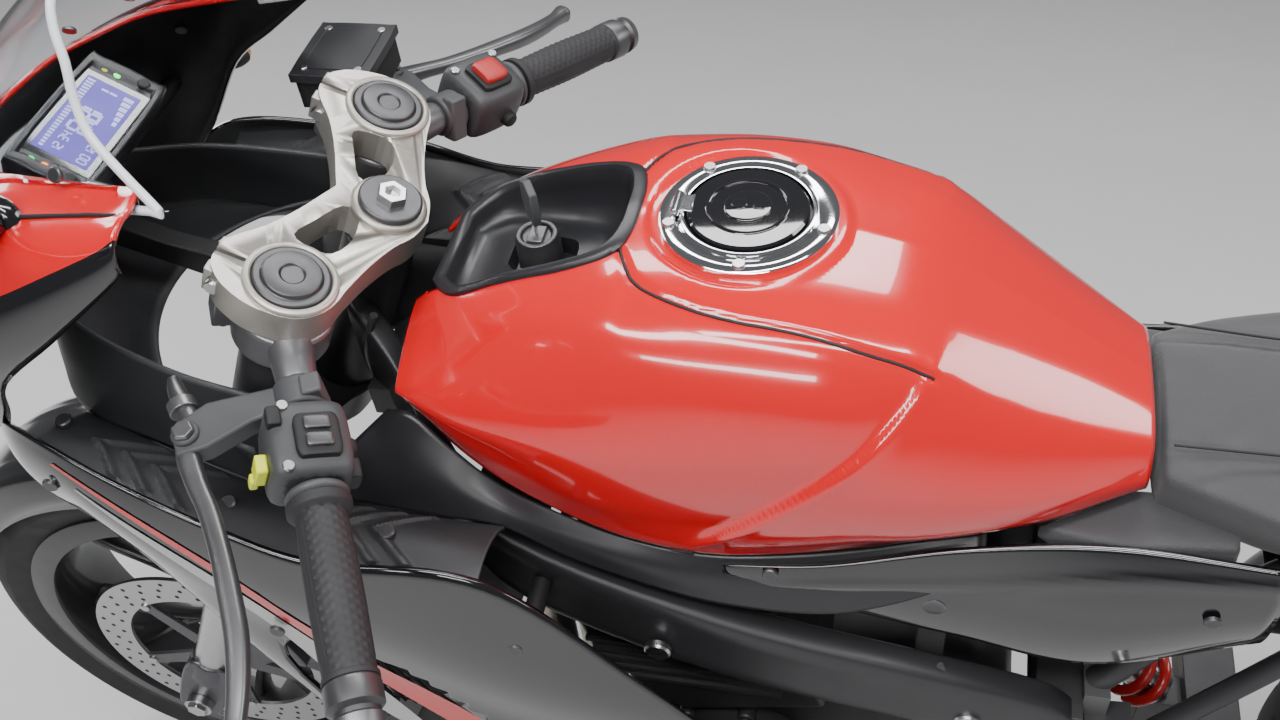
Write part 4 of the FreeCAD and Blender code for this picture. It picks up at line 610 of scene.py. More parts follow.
def filler():
    b = Build().turn([(0, 62.5), (5.5, 62.5), (7.2, 60.5), (7.4, 53), (6.0, 50.5), (5.6, 49), (8.8, 48),
                      (9.4, 46.5), (9.0, 44.8), (4, 43.6), (1, 43.6)], FILLER, Z, 96, close=True)
    b.make("filler_flange", CHROME, "chrome_ring", "filler_ring", angle=40)
    b = Build()
    for k in range(5):
        a = math.radians(72 * k + 20)
        b.bolt(FILLER + Vector((math.cos(a) * 56, math.sin(a) * 56, 7.0)), Z, 4.6, 2.6)
    b.make("filler_bolts", STEEL, "chrome_ring", angle=40)
    b = Build().turn([(4.5, 42.6), (9.0, 42.6), (10.6, 41.0), (10.9, 34), (11.2, 18), (11.3, 0.5)], FILLER, Z,
                     96)
    b.make("filler_lid_top", SMOKE, "lid_metal", "filler_lid", "filler_lid", angle=40)
    b = Build().turn([(10.7, 30), (11.9, 29), (11.9, 27), (10.9, 26)], FILLER, Z, 72, close=True)
    b.turn([(10.9, 17), (12.2, 16.4), (12.6, 14), (12.6, 0.5)], FILLER, Z, 48)
    b.box((78, -4, 931.5), (86, 4, 933.4))
    b.turn([(12.6, 6), (13.4, 5.4), (13.4, 0.5)], FILLER + X * 6, Z, 24)
    b.make("filler_lid_key_cover", SMOKE, "lid_metal", body="filler_lid", bevel=0.5)
    b = Build().pipe([(140, -11, 930), (140, 11, 930)], 3.2, smooth=False)
    b.box((128, -9, 928.5), (141, 9, 931.5))
    b.make("filler_lid_knuckle", CHROME, "lid_metal", body="filler_lid", bevel=0.6)
    # The neck is open at both ends
    b = Build().turn([(0, 22), (-54, 22), (-54, 21.5)], FILLER, Z, 40).turn([(1.5, 43.8), (1.5, 22.2)],
                                                                            FILLER, Z)
    b.faces = [f for f in b.faces if len(f) < 9]
    b.slots = [0] * len(b.faces)
    b.make("filler_neck_liner", CAP, "chrome_ring", outward=False)


tank()
recess()
lock()
filler()


# Top clamp, lower clamp and fork legs, in the clamp's own frame
def clamp_outline(z):
    half = [(41, 0), (46, 12), (56, 36), (70, 62), (84, 80), (90, 92), (90, 108), (84, 118), (74, 126),
            (56, 133), (36, 134), (20, 130), (8, 119), (2, 106), (-1, 88), (-8, 60), (-17, 36), (-26, 20),
            (-31, 0)]
    line = smooth_flat(half, 4)
    return [p + Z * z for p in line + flip(reversed(line[1:-1]))]


def leg(side):
    return (FORK_AHEAD, FORK_OUT * side, 0)


def top_clamp():
    obj = Build().plate(clamp_outline(-27), (0, 0, 27), CLAMP).make(
        "top_clamp_plate", CLAMP_METAL, "clamp_metal", "top_clamp", "steering", bevel=3.0, bevel_steps=3)
    window = ((16, 20), (30, 17), (42, 40), (50, 60), (36, 66), (20, 64), (12, 44))
    cutters = []
    for side in SIDES:
        ring = smooth_line([(x, y * side, -40) for x, y in window], 3, True)
        cutters.append(Build().plate(ring, (0, 0, 60), CLAMP))
        cutters.append(Build().box((58, 98.4 * side - 1.6, -40), (120, 98.4 * side + 1.6, 20), CLAMP))
        cutters.append(Build().turn([(-50, 27.2), (20, 27.2)], leg(side), Z, 48, CLAMP))
    cutters.append(Build().turn([(-60, 15.2), (30, 15.2)], ORIGIN, Z, 40, CLAMP))
    carve(obj, cutters)
    b = Build()
    for side in SIDES:
        b.turn([(-1, 33.5), (2.2, 33.2), (3.6, 31.5), (3.8, 28.4), (2, 27.4), (-26, 27.4), (-26, 33)],
               leg(side), Z, 64, CLAMP, close=True)
        # Pinch bolt lugs at the front of each boss
        for y in (82, 106):
            b.box((74, y * side, -25), (92, (y + 10) * side, -3), CLAMP)
    b.turn([(-2, 29), (3, 28.6), (5.5, 26), (5.5, 18), (-2, 18)], ORIGIN, Z, 56, CLAMP, close=True)
    b.make("top_clamp_bosses", CLAMP_METAL, "clamp_metal", body="steering", bevel=1.5)
    b = Build()
    for side in SIDES:
        b.turn([(-4, 27), (3.4, 27), (4.4, 26), (4.4, 21.5), (7.2, 20.4), (7.6, 19.2), (7.2, 9), (5.4, 8),
                (5.4, 0.4)], leg(side), Z, 64, CLAMP)
    b.turn([(0, 24), (8.5, 24), (10, 22.5), (10, 9), (7.5, 8.4), (7.5, 0.4)], ORIGIN, Z, 56, CLAMP)
    b.make("fork_caps", CAP, "fork_metal", body="steering", bevel=0.6)
    b = Build()
    for side in SIDES:
        b.bolt((83, 81 * side, -14), (0, -side, 0), 6, 5, CLAMP)
        b.bolt((83, 117 * side, -14), (0, side, 0), 6, 5, CLAMP)
    # The right inner head stands a millimetre further in
    b.bolt((83, -80, -14), Y, 6, 5, CLAMP)
    b.turn([(9, 12), (15, 12), (16.5, 10.8), (16.5, 6.5), (11, 6.2)], ORIGIN, Z, 6, CLAMP)
    b.make("clamp_bolts", STEEL, "clamp_metal", body="steering", angle=40)


def lower_clamp():
    Build().plate(clamp_outline(-235), (0, 0, 40), CLAMP).make(
        "lower_clamp_plate", FRAME, "black_metal", "lower_clamp", "steering", bevel=4, bevel_steps=3)
    b = Build().turn([(-196, 15), (-8, 15)], ORIGIN, Z, 40, CLAMP)
    for side in SIDES:
        for z in (-224, -206):
            b.bolt((84, 117 * side, z), (0, side, 0), 6, 5, CLAMP)
    b.make("steering_stem", STEEL, "black_metal", body="steering")


def fork_legs():
    tubes, stanchions, feet = Build(), Build(), Build()
    profile = [(12, -711), (22, -721), (50, -721), (60, -711), (62, -650), (58, -622), (50, -612), (22, -612),
               (14, -622), (10, -650)]
    for side in SIDES:
        tubes.turn([(-386, 22), (-386, 28.5), (-378, 28.5), (-374, 27), (-58, 27), (-28, 27), (1, 27)],
                   leg(side), Z, 48, CLAMP)
        stanchions.turn([(-640, 20.5), (-388, 20.5)], leg(side), Z, 48, CLAMP)
        stanchions.turn([(-392, 23), (-386, 24)], leg(side), Z, 48, CLAMP)
        ring = smooth_line([(x, min(82 * side, 120 * side), z) for x, z in profile], 3, True)
        feet.plate(ring, (0, 38, 0), CLAMP)
        feet.turn([(-650, 25), (-618, 24), (-612, 22)], leg(side), Z, 40, CLAMP)
    # The arm that carries the caliper
    arm = ((26, -677), (26, -637), (13, -571), (-29, -552), (-58, -587), (-25, -600))
    feet.plate([(x, 81, z) for x, z in arm], (0, 14, 0), CLAMP)
    tubes.make("fork_upper_tubes", FRAME, "fork_metal", "forks", "steering")
    stanchions.make("fork_stanchions", STEEL, "fork_metal", body="steering")
    feet.make("fork_feet", CAN, "fork_metal", body="steering", bevel=2.5)


# Bars and hand controls, on the bar's own line: x ahead, y out along the bar, z up
def bar_frame(side):
    left = CLAMP @ turned(30, "Z", (FORK_AHEAD, FORK_OUT, -38.5))
    return left if side > 0 else Matrix.Scale(-1, 4, Y) @ left


def dropped(side):
    return bar_frame(side) @ turned(22, "Y")


def bars():
    clamps, tubes, weights, grips = Build(), Build(), Build(), Build()
    for side in SIDES:
        m = bar_frame(side)
        clamps.turn([(-60, 30), (-58, 35.5), (-31, 35.5), (-28.5, 33), (-28.5, 28)], leg(side), Z, 56, CLAMP)
        clamps.turn([(24, 16), (40, 15.5), (58, 14), (64, 12.5)], ORIGIN, Y, 36, m)
        clamps.box((30, -26, -18), (48, -4, 9), m)
        tubes.turn([(34, 11), (160, 11)], ORIGIN, Y, 36, m)
        tubes.bolt((39, -12, -18), -Z, 5, 5, m)
        tubes.bolt((39, -16, 9), Z, 5, 4, m)
        weights.turn([(280, 12), (280, 17), (283, 18.2), (296, 18.2), (299, 15), (302, 15), (304, 17.4),
                      (311, 16.4), (312, 9), (308, 7), (308, 0.5)], ORIGIN, Y, 40, m)
        grips.tube([[Vector((grip_radius(i, a) * math.cos(a), 156 + i, grip_radius(i, a) * math.sin(a)))
                     for a in [TURN * k / 72 for k in range(72)]] for i in range(125)], m)
    clamps.make("bar_clamps", BAR, "bar_metal", "clip_ons", "steering", bevel=1.5)
    tubes.make("bar_tubes", BAR, "bar_metal", body="steering")
    weights.make("bar_end_weights", CAP, "bar_metal", body="steering", angle=40)
    grips.make("grip_sleeves", RUBBER, "grip_rubber", "grips", "steering", angle=50)


def grip_radius(i, a):
    # Long ribs in front and behind and small lozenges between, at i millimetres along the grip
    if i < 6:
        return 21.5
    if i < 10:
        return 21.5 - (i - 6) * 1.1
    if i > 120:
        return 18.0
    wave = math.sin(a * 18) * (0.5 if 0.12 < i / 124 < 0.9 else 0)
    lozenge = math.sin(i * 0.9) * math.sin(a * 12) > 0.15
    return 16.6 + 1.2 * hump(i - 62, 40) + 0.55 * (wave if math.cos(a * 2) > 0.2 else lozenge)


def pods():
    left, right = bar_frame(1), bar_frame(-1)
    b, screws = Build(), Build()
    for m in (left, right):
        b.soft_box((-26, 88, -25), (31, 146, 26), m)
        b.turn([(146, 20), (150, 21.5), (156, 21.5)], ORIGIN, Y, 36, m)
        b.turn([(84, 14), (88, 17)], ORIGIN, Y, 36, m)
        screws.bolt((18, 94, 24), Z, 4, 2, m).bolt((20, 140, 24), Z, 4, 2, m)
    b.make("switch_housings", POD, "dark_plastic", "switch_pods", "steering", subdivide=1)
    b = Build()
    # Left: a wide rocker with a hooded surround, a slide and a round button; right: the stop switch
    b.soft_box((-16, 104, 22), (14, 136, 31), left)
    b.slot = 1
    b.soft_box((-10, 108, 28), (8, 118, 34), left)
    b.soft_box((-10, 121, 28), (8, 131, 34), left)
    b.slot = 0
    b.turn([(0, 8), (7, 8), (9, 6.5), (9.5, 0.5)], (-24, 112, -8), (-1, 0, 0.1), 28, left)
    b.soft_box((-32, 124, -14), (-22, 140, 4), left)
    b.soft_box((20, 96, 20), (30, 110, 29), left)
    b.soft_box((-16, 100, 22), (16, 132, 30), right)
    b.slot = 2
    b.soft_box((-12, 104, 27), (12, 128, 35), right)
    b.slot = 0
    b.turn([(0, 7), (6, 7), (8, 5.5), (8.5, 0.5)], (-24, 126, -6), (-1, 0, 0.1), 28, right)
    b.make("switch_buttons", [DARK, CAP, KILL], "dark_plastic", body="steering", bevel=0.8)
    b = Build().box((30, 122, -6), (38, 136, 12), left).box((34, 126, -14), (40, 134, -4), left)
    b.make("pod_tab", YELLOW, "dark_plastic", body="steering", bevel=1.5)
    screws.make("pod_screws", STEEL, "dark_plastic", body="steering")


# Columns: ahead, out, half height, half depth
LEVER_TABLE = ((76, 80, 9, 7), (78, 96, 8, 8), (75, 118, 6.5, 7.5), (70, 140, 6, 7), (66, 170, 6.5, 7),
               (64, 200, 7, 7.5), (63, 232, 7.5, 7.5), (66, 262, 7, 7), (71, 286, 6.5, 6.5), (75, 300, 8, 8),
               (75, 306, 7.5, 7.5), (74, 310, 3, 3))


def levers():
    blades, perches, b = Build(), Build(), Build()
    left, right = dropped(1), dropped(-1)
    for m in (left, right):
        blades.tube(lengthen([oval(Vector((x, y, 0)), X * d, Z * h, 16, 0.7) for x, y, h, d in LEVER_TABLE],
                             6), m)
        perches.turn([(63, 17.5), (85, 17.5)], ORIGIN, Y, 36, m)
        perches.plate([(10, 64, -9), (10, 84, -9), (32, 86, -9), (64, 97, -9), (84, 97, -9), (86, 74, -9),
                       (60, 62, -9)], (0, 0, 18), m)
        perches.turn([(-13, 9.5), (13, 9.5)], (76, 83, 0), Z, 28, m)
        perches.box((-18, 66, -19), (-4, 82, 19), m)
        b.turn([(14, 8), (17, 7)], (76, 83, 0), Z, 6, m)
    blades.make("lever_blades", LEVER, "lever_metal", "levers", "steering", angle=50)
    perches.make("lever_perches", POD, "lever_metal", body="steering", bevel=2)
    b.pipe([(72, 74, 0), (80, 44, 0), (82, 30, 0)], [7.5, 6.5, 4], matrix=left)
    b.turn([(0, 10), (9, 10)], (77, 60, 0), (0.2, -1, 0), 20, left)
    b.pipe([(60, 32, 2), (66, 52, 2), (76, 82, 2)], [13.5, 13.5, 12], matrix=right, smooth=False)
    b.make("lever_hardware", LEVER, "lever_metal", body="steering", bevel=0.6)


def reservoir():
    corners = smooth_line([(430, -132, 897), (480, -132, 897), (486, -138, 897), (486, -198, 897),
                           (480, -204, 897), (430, -204, 897), (424, -198, 897), (424, -138, 897)], 3, True)
    b = Build().plate(corners, (0, 0, 26)).box((428, -178, 880), (452, -150, 897))
    b.make("reservoir_pot", DARK, "dark_plastic", "brake_reservoir", "steering", bevel=1.5)
    b = Build()
    b.plate([(p.x + (3 if p.x > 455 else -3), p.y + (3 if p.y > -168 else -3), 923.5) for p in corners],
            (0, 0, 8))
    b.plate([(p.x * 0.82 + 455 * 0.18, p.y * 0.82 - 168 * 0.18, 931) for p in corners], (0, 0, 1.5))
    b.make("reservoir_cap", TRIM, "dark_plastic", body="steering", bevel=1.8)
    b = Build()
    for x in (431, 479):
        for y in (-139, -197):
            b.bolt((x, y, 931.5), Z, 3.4, 1.6)
    b.make("reservoir_screws", STEEL, "dark_plastic", body="steering")


top_clamp()
lower_clamp()
fork_legs()
bars()
pods()
levers()
reservoir()


# Nose, screen, instrument and cockpit
# Columns: x, lower y and z, widest y and z, upper y and z, crown z
NOSE = ((758, 30, 852, 46, 870, 30, 886, 892), (752, 48, 846, 60, 868, 40, 892, 902),
        (736, 76, 828, 92, 862, 64, 910, 924), (716, 98, 812, 120, 858, 86, 926, 944),
        (682, 132, 802, 156, 862, 104, 950, 970), (645, 160, 800, 182, 868, 118, 972, 992),
        (610, 178, 840, 194, 894, 127, 985, 1006), (575, 194, 896, 202, 930, 136, 996, 1016),
        (526, 186, 934, 190, 962, 138, 1004, 1023), (478, 174, 972, 174, 990, 140, 1010, 1027),
        (462, 168, 986, 168, 998, 138, 1014, 1029))
COCKPIT = ((652, 0), (644, 50), (622, 74), (575, 100), (470, 118), (440, 118))
LAMP = ((34, 858), (66, 846), (128, 868), (150, 902), (120, 906), (52, 886))


def nose_grid(out=0.0):
    rows = []
    for x, ly, lz, my, mz, uy, uz, crown in NOSE:
        half = arc3((x, ly + out, lz), (x, my + out, mz), (x, uy + out, uz + out), 14)
        arch = arc3((x, uy + out, uz + out), (x, 0, crown + out), (x, -uy - out, uz + out), 24)
        rows.append(mirrored_row(half + arch[1:13]))
    return lengthen(rows, 5)


def nose():
    cockpit = smooth_flat(COCKPIT, 5)
    lamp = [(p.x, p.y) for p in smooth_flat(LAMP, 5, True)]
    grid = nose_grid()
    b = Build().grid(grid)
    # Black below the widest line, which is the seventh of each flank
    across = len(grid[0]) - 1
    b.slots = [int(min(k % across, across - 1 - k % across) < 7) for k in range(len(b.faces))]
    shell = b.make("nose_shell", [RED, BLACK], "red_paint", "nose_fairing", thick=4, inside=DARK,
                   facing=(600, 0, 900))
    plan = cockpit + flip(reversed(cockpit[1:]))
    cutters = [Build().plate([(p.x, p.y, 890) for p in plan], (0, 0, 220))]
    cutters += [Build().plate([(660, y * side, z) for y, z in lamp], (140, 0, 0)) for side in SIDES]
    duct = ((-26, 862), (-18, 880), (0, 886), (18, 880), (26, 862), (0, 856))
    cutters.append(Build().plate(smooth_line([(660, y, z) for y, z in duct], 4, True), (140, 0, 0)))
    carve(shell, cutters, shell=True)
    # Lamp glass on the nose's own skin, with bowls and projectors behind
    lens = Build().grid(nose_grid(-0.6))
    lens.keep(lambda c: c.x > 640 and any(inside(c.y * s, c.z, lamp) for s in SIDES))
    lens.make("headlight_lenses", LENS, "clear_lens", "lamps", thick=2)
    bowls, projectors = Build(), Build()
    for side in SIDES:
        middle = Vector((650, 92 * side, 880))
        rows = []
        for share, x in ((1.04, 700), (1.0, 690), (0.9, 668), (0.7, 650), (0.4, 640), (0.02, 638)):
            rows.append([Vector((x + (abs(y) < 70) * 18 * share, middle.y + (y * side - middle.y) * share,
                                 middle.z + (z - middle.z) * share)) for y, z in lamp])
        bowls.grid(rows, ring=True)
        for y, z, r in ((112, 887, 20), (74, 868, 15)):
            projectors.turn([(0, r), (12, r), (14, r - 2), (15, r * 0.7), (15.5, 1)], (652, y * side, z), X,
                            32)
    bowls.make("headlight_bowls", SILVER, "clear_lens", thick=1.5)
    projectors.make("headlight_projectors", SMOKE, "clear_lens")
    # A dark tube along the nose panel's seam: painted shade in the gap
    b = Build().pipe([(470, 141, 1011), (500, 140, 1008), (575, 137, 997), (645, 119, 973), (690, 98, 946)],
                     1.6, 8)
    b.mirror().make("nose_seam_painted_shade", DARK, "red_paint")
    b = Build().bolts([(484, 160, 1000)], (0, 1, 0.6), 5, 2.5).bolts([(560, 172, 976)], (0, 1, 0.7), 5, 2.5)
    b.bolts([(606, 176, 938)], (0.3, 1, 0.5), 5, 2.5).make("nose_screws", CAP, "red_paint")


# Columns: x, half width at the foot, foot z, crown z
SCREEN_TABLE = ((700, 8, 950, 955), (690, 24, 950, 964), (668, 70, 962, 992), (640, 100, 972, 1034),
                (604, 114, 985, 1066), (560, 120, 992, 1100), (510, 124, 1000, 1136), (475, 127, 1004, 1155),
                (440, 131, 1008, 1172))
SCREEN_SHAPE = ((1.0, 1.0), (0.82, 0.70), (0.656, 0.40), (0.49, 0.16), (0.25, 0.035), (0.0, 0.0))
SCREEN_BACK = ((519, 1190), (517, 1132), (514, 1114), (506, 1084), (495, 1046), (470, 1024), (446, 1008))


def screen():
    rows = smooth_grid([mirrored_row([(x, half * wide, crown - (crown - foot) * deep) for wide,
                                      deep in SCREEN_SHAPE])
                        for x, half, foot, crown in SCREEN_TABLE], 14, 8)
    edge = smooth_line([(x, 0, z) for x, z in SCREEN_BACK], 6)

    def back_x(z):
        for p, q in zip(edge, edge[1:]):
            if q.z <= z <= p.z:
                return p.x + (q.x - p.x) * (p.z - z) / max(p.z - q.z, 1e-6)
        return edge[-1].x if z < edge[-1].z else edge[0].x

    obj = Build().grid(rows).make("screen_bubble", [SCREEN, SCREEN_RIM_HIGHLIGHT], "screen", "windscreen", thick=3)
    behind = Build().slab([(p.x, p.z) for p in edge] + [(400, 1008), (400, 1190)], -200, 400)
    cover = nose_grid(0.4)
    n, m = len(cover), len(cover[0])
    below = Build().grid(cover, caps=True)
    below.faces.append([i * m for i in range(n)] + [i * m + m - 1 for i in reversed(range(n))])
    below.slots.append(0)
    carve(obj, [behind, below])
    # The trailing edge is rolled and catches the light; the roll is opaque pale grey, a painted highlight on
    # the clear edge
    line = []
    for column in zip(*rows):
        for p, q in zip(column, column[1:]):
            if p.x >= back_x(p.z) and q.x < back_x(q.z):
                line.append(p.lerp(q, 0.5))
                break
    # At each corner the roll turns forward along the foot, until the nose covers it
    feet = []
    for j in (0, -1):
        near = [row[j] for row in rows if row[j].x > back_x(row[j].z) and 6 < row[j].x - line[j].x < 44]
        feet.append([near[-1], near[len(near) // 2], near[0]])
    b = Build().pipe(feet[0][::-1] + line[::4] + [line[-1]] + feet[1], 3.2, 12, 3)
    b.make("screen_edge_roll", SCREEN_RIM_HIGHLIGHT, "screen")
    b = Build().bolts([(640, 88, 993), (590, 108, 1012), (520, 118, 1022)], (0.2, 1, 0.7), 5.5, 3)
    b.make("screen_screws", CAP, "screen")


SEGMENTS = {"0": "abcdef", "1": "bc", "2": "abged", "3": "abgcd", "4": "fgbc", "5": "afgcd", "6": "afgedc",
            "7": "abc", "8": "abcdefg", "9": "abcdfg", "-": "g"}
# Each segment's start and end, as shares across and up
STROKES = {"a": ((0, 1), (1, 1)), "b": ((1, 1), (1, 0.5)), "c": ((1, 0.5), (1, 0)), "d": ((0, 0), (1, 0)),
           "e": ((0, 0.5), (0, 0)), "f": ((0, 1), (0, 0.5)), "g": ((0, 0.5), (1, 0.5))}


def digits(b, text, left, low, width, height, stroke, matrix, lift):
    for i, letter in enumerate(text):
        for name in SEGMENTS.get(letter, ""):
            (x0, y0), (x1, y1) = STROKES[name]
            ax, ay = left + i * width * 1.45 + x0 * width, low + y0 * height
            bx, by = left + i * width * 1.45 + x1 * width, low + y1 * height
            h = stroke / 2
            if ax == bx:
                b.box((lift, ax - h, min(ay, by) + h * 0.6), (lift + 0.4, ax + h, max(ay, by) - h * 0.6),
                      matrix)
            else:
                b.box((lift, min(ax, bx) + h * 0.6, ay - h), (lift + 0.4, max(ax, bx) - h * 0.6, ay + h),
                      matrix)


def instrument():
    # Drawn facing the rider: x out of the face, y across to the right, z up the face
    place = turned(58.7, "Y", (596, 0, 954)) @ turned(180, "Z")
    outline = ((-66, -22), (-56, -32), (56, -32), (66, -22), (66, 22), (56, 30), (-56, 30), (-66, 22))
    ring = smooth_line([(26, y, z) for y, z in outline], 4, True)
    # Columns: forward of the rim, and the share of its size
    b = Build().tube([[Vector((p.x + dx, p.y * s, p.z * s)) for p in ring]
                      for dx, s in ((-34, 0.86), (-30, 0.93), (-4, 1.0), (0, 0.98), (0.6, 0.94), (0, 0.84),
                                    (-3, 0.80), (-3.4, 0.02))], place)
    b.box((606, -10, 880), (634, 10, 935))
    b.make("instrument_case", TRIM, "dark_plastic", "instrument_panel", bevel=0.6)
    Build().box((22.6, -49, -26), (23.4, 49, 25), place).make("instrument_glass", SMOKE, "dark_plastic",
                                                              bevel=0.4)
    Build().box((23.4, -43, -21), (23.8, 43, 21), place).make("instrument_display", DISPLAY, "dark_plastic")
    # A bar of rev marks with the speed, gear and clock in plain digits
    b = Build()
    for i in range(24):
        t = i / 23
        b.box((23.9, 78 * t - 40, 13.5), (24.2, 78 * t - 38, 16.5 + 3.0 * t), place)
    # Columns: text, left, low, width, height, stroke
    for row in (("0", 2, -6, 9, 15, 2.2), ("88", -14, -6, 9, 15, 2.2), ("1", 28, -6, 7, 13, 1.8),
                ("12", -40, 2, 3.6, 6.5, 1.0), ("34", -27, 2, 3.6, 6.5, 1.0),
                ("00123", -40, -18, 3.6, 6.5, 1.0)):
        digits(b, *row, place, 23.9)
    for i in range(6):
        b.box((23.9, 6 + i * 5.6, -18), (24.2, 10 + i * 5.6, -15 + i * 0.9), place)
    b.make("instrument_figures", INK, "dark_plastic")
    b = Build()
    for k, (y, z) in enumerate(((-56, 14), (-56, 4), (56, 14), (56, 4))):
        b.slot = k % 3
        b.turn([(0, 3.0), (1.6, 3.0), (2.2, 2.0), (2.3, 0.3)], place @ Vector((22.6, y, z)),
               place.to_3x3() @ X, 20)
    b.slot = 3
    for y in (-58, 58):
        b.turn([(0, 5), (3.5, 5), (4.5, 4), (4.6, 0.4)], place @ Vector((22.6, y, -16)), place.to_3x3() @ X,
               20)
    b.make("instrument_lamps", [GREEN, ORANGE, YELLOW, DARK], "dark_plastic")


# Columns: x, inner y and z, middle y and z, outer y and z
COCKPIT_ROWS = ((596, 128, 790, 160, 812, 187, 824), (520, 142, 770, 178, 798, 212, 812),
                (440, 152, 748, 190, 776, 224, 786), (360, 154, 742, 190, 766, 226, 764),
                (300, 154, 739, 187, 760, 222, 757), (256, 154, 738, 184, 756, 218, 752))


def cockpit():
    # Nested raised ridges, as arrows that point forward
    tips = (560, 535, 510, 392, 367, 342)
    raised = []
    for row in arc_grid(COCKPIT_ROWS, 40, 26):
        out = []
        for j, p in enumerate(row):
            t = j / (len(row) - 1)
            lift = 0.0
            for tip in tips if 0.12 < t < 0.88 else ():
                lift = max(lift, 3.2 * ease(1.6 - abs(p.x - (tip - abs(t - 0.5) * 90)) / 4.0))
            out.append(p + Z * lift)
        raised.append(out)
    b = Build().grid(raised).mirror()
    b.make("cockpit_panel_skin", PLASTIC, "dark_plastic", "inner_panels", thick=3, facing=(430, 0, 500))
    b = Build().bolts([(330, 190, 765), (590, 158, 813), (452, 190, 777)], Z, 6.5, 3.5)
    b.make("cockpit_panel_bolts", CAP, "dark_plastic")
    # The dark inner cowl on each side of the forks, down to the panels
    cowl = (((644, 56, 900), (620, 84, 884), (575, 112, 870), (500, 131, 852), (430, 137, 838)),
            ((645, 58, 868), (622, 90, 850), (588, 121, 830), (512, 139, 812), (434, 145, 798)),
            ((646, 60, 838), (626, 97, 812), (596, 128, 791), (520, 142, 771), (440, 152, 749)))
    b = Build().grid(smooth_grid(cowl, 8, 8)).mirror()
    b.make("inner_cowl", PLASTIC, "dark_plastic", thick=3, facing=(500, 0, 850))
    # A tray under the display, cut to an arch round the turning fork legs
    outer = ((446, 150, 752), (520, 141, 773), (590, 124, 795), (624, 92, 815), (643, 52, 834), (650, 0, 842))
    outer = smooth_line(mirrored_row(outer), 7)
    rows = []
    for k in range(9):
        row = []
        for p in outer:
            centre = Vector((425, 0, p.z))
            spoke = p - centre
            inner = centre + spoke.normalized() * min(150, spoke.length - 1)
            inner.z = 788 + (inner.x - 425) * 0.16
            row.append(p.lerp(inner, k / 8) - Z * 7 * math.sin(math.pi * k / 8))
        rows.append(row)
    Build().grid(rows).make("dash_tray", PLASTIC, "dark_plastic", thick=3, facing=(500, 0, 600))
    # A skirt from the tank's lower edge to the panels and the spar
    upper = vectors(((352, 104, 800), (330, 108, 803), (300, 120, 782), (262, 129, 755), (215, 133, 731),
                     (175, 135, 715), (130, 135, 705), (90, 133, 703), (40, 127, 707), (0, 121, 713),
                     (-44, 115, 723), (-92, 105, 729)))
    lower = vectors(((420, 152, 744), (370, 153, 741), (320, 153, 738), (262, 153, 736), (216, 152, 706),
                     (176, 151, 686), (130, 150, 668), (90, 149, 660), (40, 147, 658), (0, 144, 664),
                     (-44, 138, 682), (-92, 126, 706)))
    middle = [(p + q) / 2 + Vector((0, 3, 3)) for p, q in zip(upper, lower)]
    b = Build().grid(smooth_grid([upper, middle, lower], 8, 6))
    b.mirror().make("tank_skirt", TRIM, "dark_plastic", thick=3, facing=(150, 0, 650))


# Fairings
# Columns: x, top, middle and bottom, each y and z
SIDE_TABLE = ((668, 146, 792, 147, 782, 145, 770), (606, 186, 836, 196, 796, 180, 744),
              (520, 213, 822, 226, 742, 196, 668), (440, 226, 796, 238, 670, 204, 520),
              (370, 228, 772, 240, 600, 196, 330), (250, 220, 760, 234, 500, 140, 152),
              (150, 214, 640, 216, 420, 118, 140), (50, 202, 490, 194, 320, 110, 136),
              (-40, 192, 400, 182, 280, 106, 138), (-96, 184, 366, 172, 256, 104, 142))


def stripe(b, grid, points, widths, lift):
    # A strip laid on the fairing; the points are shares along and down it
    line = smooth_flat(points, 6)
    wide = smooth_flat([(w, 0) for w in widths], 6)
    rows = []
    for i, (p, w) in enumerate(zip(line, wide)):
        q = line[min(i + 1, len(line) - 1)] - line[max(i - 1, 0)]
        n = Vector((-q.y * 0.6, q.x, 0)).normalized()
        row = []
        for k in range(5):
            o = p + n * w.x * (k / 4 - 0.5)
            row.append(on_grid(grid, min(max(o.x, 0), 1), min(max(o.y, 0), 1), -lift))
        rows.append(row)
    b.grid(rows)


